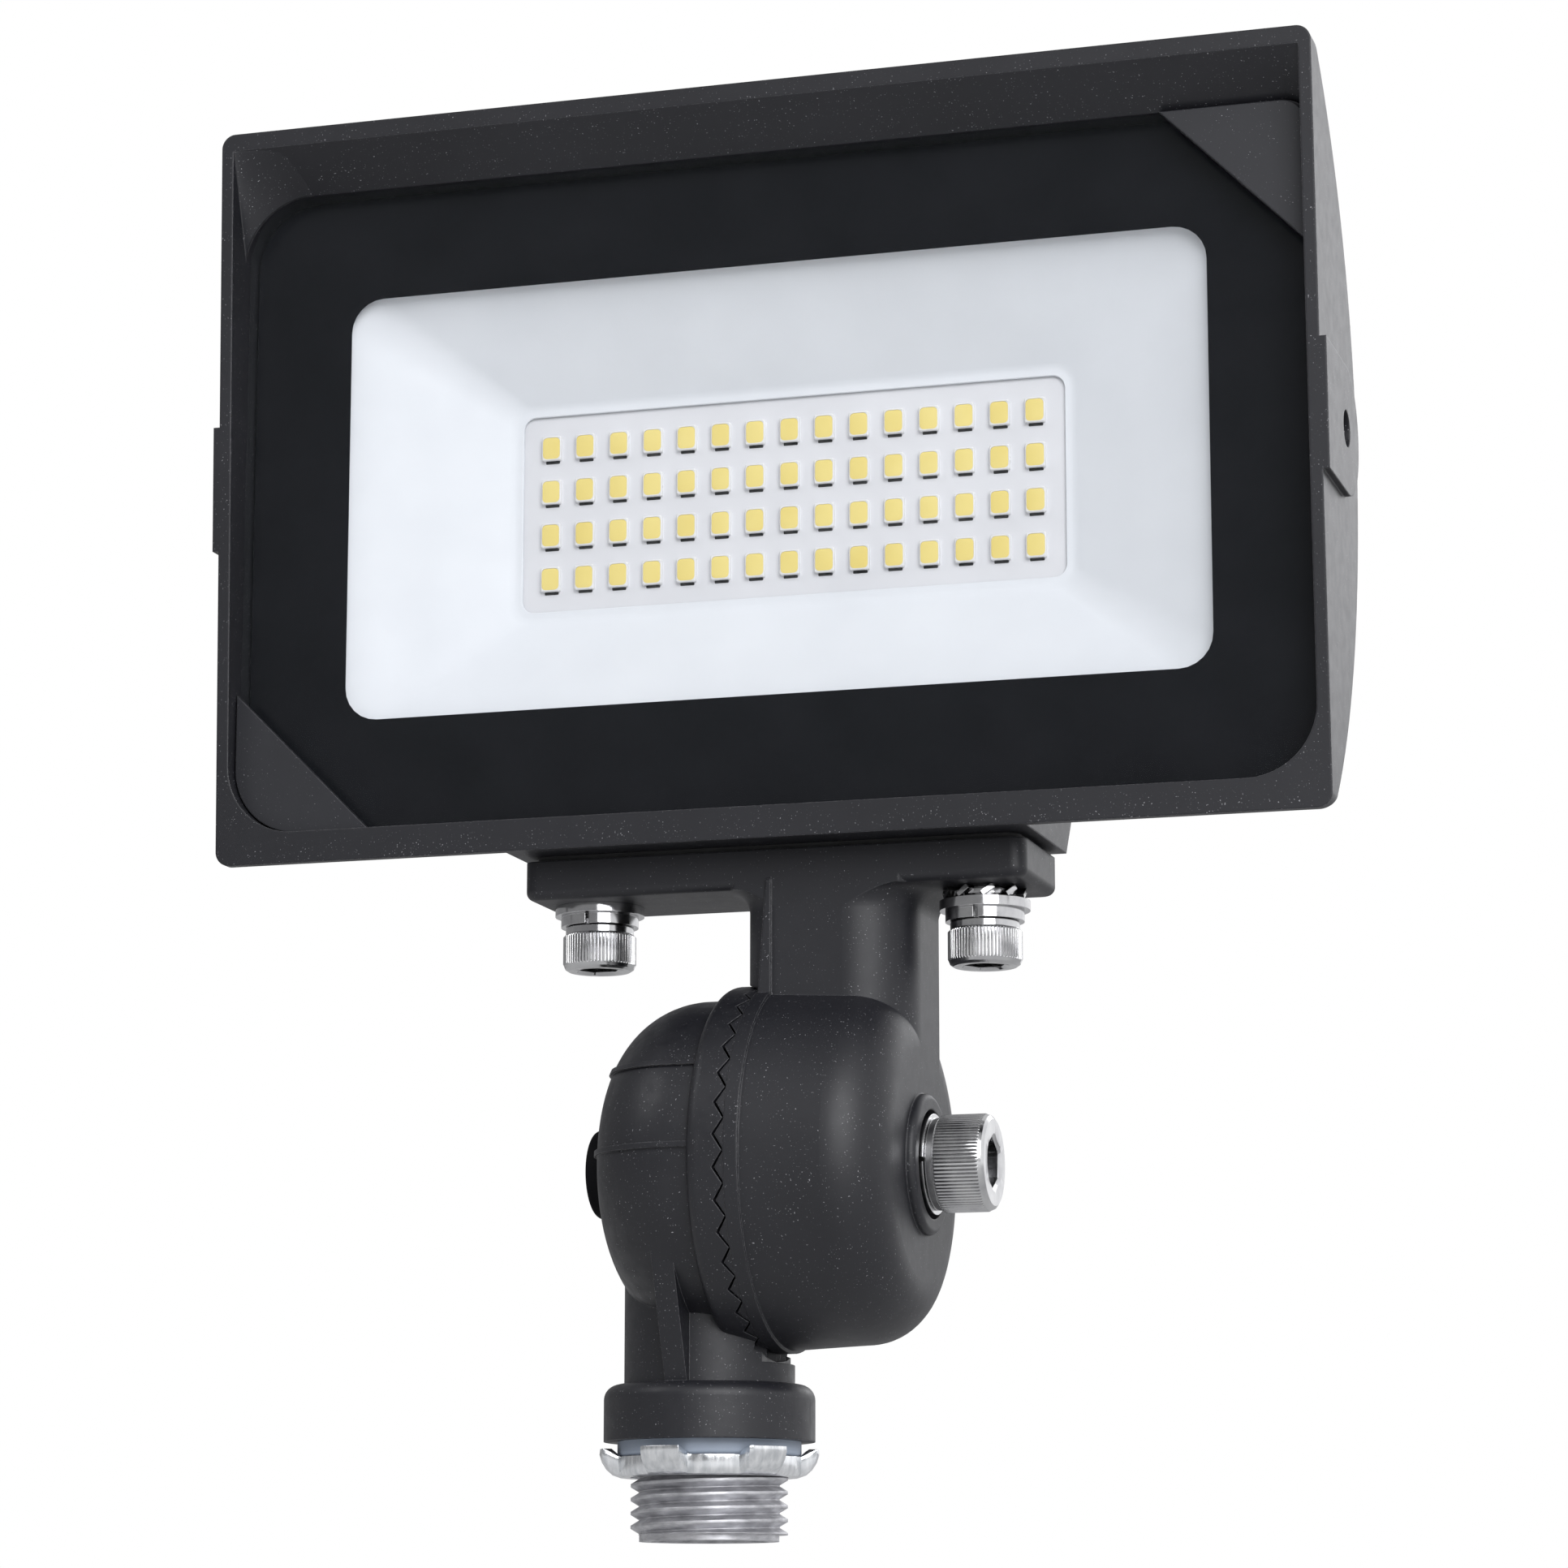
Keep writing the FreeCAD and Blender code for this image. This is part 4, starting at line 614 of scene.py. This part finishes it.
def upper_clip():
    """The glass's upper right clip: a three-cornered plate with a tight corner under the hood."""
    low, high = box_mm("corner_clip_upper_right")

    def outline(depth, inset):
        top = high.z - inset
        right = high.x - inset
        points = [(low.x + CLIP_EASE * inset, depth, top)]
        for step in range(CLIP_STEPS + 1):
            angle = (1 - step / CLIP_STEPS) * math.pi / 2
            points.append((right - HOOD_CORNER * (1 - math.cos(angle)), depth,
                           top - HOOD_CORNER * (1 - math.sin(angle))))
        points.append((right, depth, low.z + CLIP_EASE * inset))
        return points

    loops = [outline(high.y, 0.0), outline(low.y + CLIP_ROUND, 0.0), outline(low.y, CLIP_ROUND)]
    add_piece("clip_upper_right", points_of(loops), skin(loops), "clip", "head", "clip_coat",
              ("corner_clip_upper_right",))


def chip_places():
    """Centres of the light chips, row by row."""
    low, high = box_mm("led_chips")
    middle = ((low.x + high.x) / 2, (low.z + high.z) / 2)
    return [
        (middle[0] + (column - (LED_COLUMNS - 1) / 2) * LED_PITCH[0],
         middle[1] + (row - (LED_ROWS - 1) / 2) * LED_PITCH[1])
        for row in range(LED_ROWS) for column in range(LED_COLUMNS)
    ]


def light_chips():
    """White chip packages with a recess, the yellow phosphor in it and a solder bead below."""
    low, high = box_mm("led_chips")
    front = low.y
    rear = high.y
    places = chip_places()

    def package(place):
        rows = (
            (LED_HALF, LED_CORNER, rear),
            (LED_HALF, LED_CORNER, front + LED_EASE_DEPTH),
            (grown(LED_HALF, -LED_EASE_WIDTH), LED_CORNER, front),
            (PHOSPHOR_HALF, PHOSPHOR_CORNER, front),
            (PHOSPHOR_HALF, PHOSPHOR_CORNER, front + PHOSPHOR_RECESS),
        )
        return [rounded(*row, place, LED_STEPS) for row in rows]

    def phosphor(place):
        return [rounded(grown(PHOSPHOR_HALF, -inset), corner, front + depth, place, LED_STEPS)
                for inset, depth, corner in PHOSPHOR_ROWS]

    def solder(place):
        below = (place[0], place[1] - LED_HALF[1] - SOLDER_DROP)
        return [rounded(half, corner, rear - rise, below, LED_STEPS) for half, corner, rise in SOLDER_ROWS]

    add_piece("led_packages", *joined(map(package, places)), "package", "head", "led_phosphor",
              ("led_chips",))
    add_piece("led_phosphor_fill", *joined(map(phosphor, places)), "phosphor", "head", "led_phosphor")
    add_piece("led_solder_beads", *joined(map(solder, places)), "solder", "head", "stainless")


def ring_points(count, radius_at, along, frame_axes):
    """A loop round an axis, its radius given for each index and angle."""
    origin, axis, side, other = frame_axes
    points = []
    for index in range(count):
        angle = 2 * math.pi * index / count
        radius = radius_at(index, angle)
        points.append(origin + axis * along + (side * math.cos(angle) + other * math.sin(angle)) * radius)
    return points


def hex_radius(across_flats):
    """Radius of a hexagon's edge at an angle."""
    def radius_at(index, angle):
        sector = math.pi / 3
        return across_flats / 2 / math.cos((angle + sector / 2) % sector - sector / 2)
    return radius_at


def plain_radius(radius):
    """The same radius all round."""
    def radius_at(index, angle):
        return radius
    return radius_at


def ridge_radius(radius):
    """Radius of a straight knurl, cut in by a groove between ridges."""
    def radius_at(index, angle):
        return radius - KNURL_DEPTH * (index % KNURL_STEPS == 0)
    return radius_at


def cap_screw(seat, axis, sizes, reach):
    """A socket cap screw's loops: its tip, shank, seat band, straight knurl, eased end and hex socket."""
    side = Vector((0, 1, 0))
    axes = (Vector(seat), Vector(axis), side, Vector(axis).cross(side))
    head = sizes["head"]
    height = sizes["height"]
    shank = sizes["shank"]
    socket = sizes["socket"]
    socket_floor = height / 2
    rows = [
        (plain_radius(shank - TIP_CHAMFER), -reach),
        (plain_radius(shank), TIP_CHAMFER - reach),
        (plain_radius(shank), 0.0),
        *((plain_radius(head - inset), rise) for inset, rise in SEAT_ROWS),
        (ridge_radius(head), SEAT_BAND + 2 * SEAT_GROOVE),
        (ridge_radius(head), height - END_CHAMFER - KNURL_RUNOUT),
        *((plain_radius(head - inset), height - drop) for inset, drop in END_ROWS),
        (plain_radius(socket * SOCKET_MOUTH), height),
        (hex_radius(socket), height - SOCKET_CHAMFER),
        (hex_radius(socket), socket_floor),
        (plain_radius(SOCKET_POINT_RADIUS), socket_floor - SOCKET_POINT_DEPTH),
    ]
    count = KNURL_STEPS * sizes["ridges"]
    return [ring_points(count, radius_at, along, axes) for radius_at, along in rows]


def add_screws(name, screw_loops, stands_for, body):
    """One piece of one or more cap screws."""
    add_piece(name, *joined(screw_loops), "steel", body, "stainless", (stands_for,))


def screws():
    """Two screws under the plate and the clamp screw of the knuckle, with knurled heads."""
    bolt_low, bolt_high = box_mm("plate_bolts")
    washer_points = [vertex.co / MM for vertex in NODES["plate_spring_washers"].data.vertices]
    middle_x = (bolt_low.x + bolt_high.x) / 2
    plate_screws = []
    for side in (-1, 1):
        near = [place for place in washer_points if (place.x - middle_x) * side > 0]
        seat = min(place.z for place in near)
        across = middle_x + side * ((bolt_high.x - bolt_low.x) / 2 - M6["head"])
        plate_screws.append(cap_screw((across, 0.0, seat), (0, 0, -1), M6, bolt_high.z - seat))
    add_screws("plate_cap_screws", plate_screws, "plate_bolts", "head")
    low, high = box_mm("knuckle_bolt")
    seat = high.x - M8["height"]
    pivot_height = (low.z + high.z) / 2
    clamp = cap_screw((seat, 0.0, pivot_height), (1, 0, 0), M8, seat - low.x)
    add_screws("knuckle_cap_screw", [clamp], "knuckle_bolt", "base")


def upper_teeth():
    """The upper knuckle half's teeth, which lie in the valleys between the lower half's with an open gap."""
    pivot_height = frame["joints"][0]["pos_m"][2] / MM
    base = TOOTH_PLANE + JOINT_GAP
    half_angle = math.pi / TOOTH_COUNT

    def spot(across, angle, radius):
        return (across, -math.sin(angle) * radius, pivot_height + math.cos(angle) * radius)

    forms = []
    for index in range(TOOTH_COUNT):
        middle = (2 * index + 1) * half_angle
        left = middle - half_angle * TOOTH_FILL
        right = middle + half_angle * TOOTH_FILL
        loops = []
        for radius in (TOOTH_INNER_RADIUS, RIM_RADIUS - TOOTH_SETBACK):
            tip = TOOTH_PLANE + TOOTH_GAP - TOOTH_DEPTH * radius / RIM_RADIUS
            loops.append([
                spot(tip, middle, radius),
                spot(base, right, radius),
                spot(base + TOOTH_ROOT, right, radius),
                spot(base + TOOTH_ROOT, left, radius),
                spot(base, left, radius),
            ])
        forms.append(loops)
    add_piece("upper_knuckle_teeth", *joined(forms), "coat", "head", "cast_coat", crease=20.0)


def stamped_locknut():
    """A stamped ring with six lugs turned up, whose section eases from lug to notch round the ring."""
    low, high = box_mm("locknut")
    heights = {"foot": low.z, "seat": high.z - NUT_SHEET, "top": high.z}
    lug_spacing = 360.0 / NUT_LUGS
    loops = []
    for step in range(NUT_STEPS):
        angle = 360.0 * step / NUT_STEPS
        off_lug = abs((angle - NUT_LUG_TURN + lug_spacing / 2) % lug_spacing - lug_spacing / 2)
        share = min(max((NUT_LUG_FOOT - off_lug) / (NUT_LUG_FOOT - NUT_LUG_HALF), 0.0), 1.0)
        turn = math.radians(angle)
        loop = []
        for (lug_radius, lug_level, lug_rise), (radius, level, rise) in zip(LUG_SECTION, NOTCH_SECTION):
            lug_height = heights[lug_level] + lug_rise
            height = heights[level] + rise
            radius += (lug_radius - radius) * share
            height += (lug_height - height) * share
            loop.append((radius * math.cos(turn), radius * math.sin(turn), height))
        loops.append(loop)
    add_piece("stamped_locknut", points_of(loops), skin(loops, around=True), "zinc", "locknut", "zinc_plate",
              ("locknut",))


# stage

def floor():
    """Pale plain floor below the camera."""
    half = FLOOR_SIDE / 2
    mesh = bpy.data.meshes.new("floor")
    mesh.from_pydata([(-half, -half, FLOOR_HEIGHT), (half, -half, FLOOR_HEIGHT), (half, half, FLOOR_HEIGHT),
                      (-half, half, FLOOR_HEIGHT)], [], [(0, 1, 2, 3)])
    plane = bpy.data.objects.new("floor", mesh)
    bpy.context.scene.collection.objects.link(plane)
    finish, _, _ = new_finish("floor", Base_Color=FLOOR_GREY, Roughness=FLOOR_ROUGHNESS)
    mesh.materials.append(finish)


def background():
    """A bright backdrop behind a dimmer front, seen as plain white by the camera and through glass."""
    world = bpy.data.worlds.new("studio")
    world.use_nodes = True
    tree = world.node_tree
    towards = tree.nodes.new("ShaderNodeVectorMath")
    towards.operation = "DOT_PRODUCT"
    towards.inputs[1].default_value = BACKDROP_SIDE
    tree.links.new(tree.nodes.new("ShaderNodeTexCoord").outputs["Generated"], towards.inputs[0])
    level = map_range(tree, towards.outputs["Value"], (FRONT_AMBIENT, BACKDROP_LIGHT), (0.0, BACKDROP_REACH),
                      "SMOOTHSTEP")
    soft = tree.nodes["Background"]
    soft.inputs["Color"].default_value = (*LIGHT_COLOUR, 1.0)
    tree.links.new(level, soft.inputs["Strength"])
    plain = tree.nodes.new("ShaderNodeBackground")
    plain.inputs["Color"].default_value = (*WHITE, 1.0)
    plain.inputs["Strength"].default_value = 1.0
    path = tree.nodes.new("ShaderNodeLightPath")
    either = tree.nodes.new("ShaderNodeMath")
    either.operation = "MAXIMUM"
    tree.links.new(path.outputs["Is Camera Ray"], either.inputs[0])
    tree.links.new(path.outputs["Is Transmission Ray"], either.inputs[1])
    choice = tree.nodes.new("ShaderNodeMixShader")
    tree.links.new(either.outputs["Value"], choice.inputs["Fac"])
    tree.links.new(soft.outputs["Background"], choice.inputs[1])
    tree.links.new(plain.outputs["Background"], choice.inputs[2])
    tree.links.new(choice.outputs["Shader"], tree.nodes["World Output"].inputs["Surface"])
    bpy.context.scene.world = world


def lamps():
    """Large soft lamps round the object."""
    for name, place, side, power in LAMPS:
        lamp = bpy.data.lights.new(name, "AREA")
        lamp.size = side
        lamp.energy = power
        lamp.color = LIGHT_COLOUR
        thing = bpy.data.objects.new(name, lamp)
        thing.location = place
        thing.rotation_euler = (LAMP_TARGET - Vector(place)).to_track_quat("-Z", "Y").to_euler()
        bpy.context.scene.collection.objects.link(thing)


def camera():
    """The photograph's view."""
    forward = Vector((-math.sin(CAMERA_YAW) * math.cos(CAMERA_RISE),
                      math.cos(CAMERA_YAW) * math.cos(CAMERA_RISE), math.sin(CAMERA_RISE)))
    right = Vector((math.cos(CAMERA_YAW), math.sin(CAMERA_YAW), 0.0))
    up = right.cross(forward)
    data = bpy.data.cameras.new("camera")
    data.sensor_width = SENSOR_MM
    data.lens = FOCAL_PIXELS / IMAGE_PIXELS * SENSOR_MM
    thing = bpy.data.objects.new("camera", data)
    turned = Matrix((right, up, -forward)).transposed().to_4x4()
    thing.matrix_world = Matrix.Translation(CAMERA_PLACE) @ turned
    bpy.context.scene.collection.objects.link(thing)
    bpy.context.scene.camera = thing


finish_nodes()
glass_print()
reflector()
hood_corners()
upper_clip()
light_chips()
screws()
upper_teeth()
stamped_locknut()
floor()
background()
lamps()
camera()
bpy.context.scene.view_settings.view_transform = "Standard"
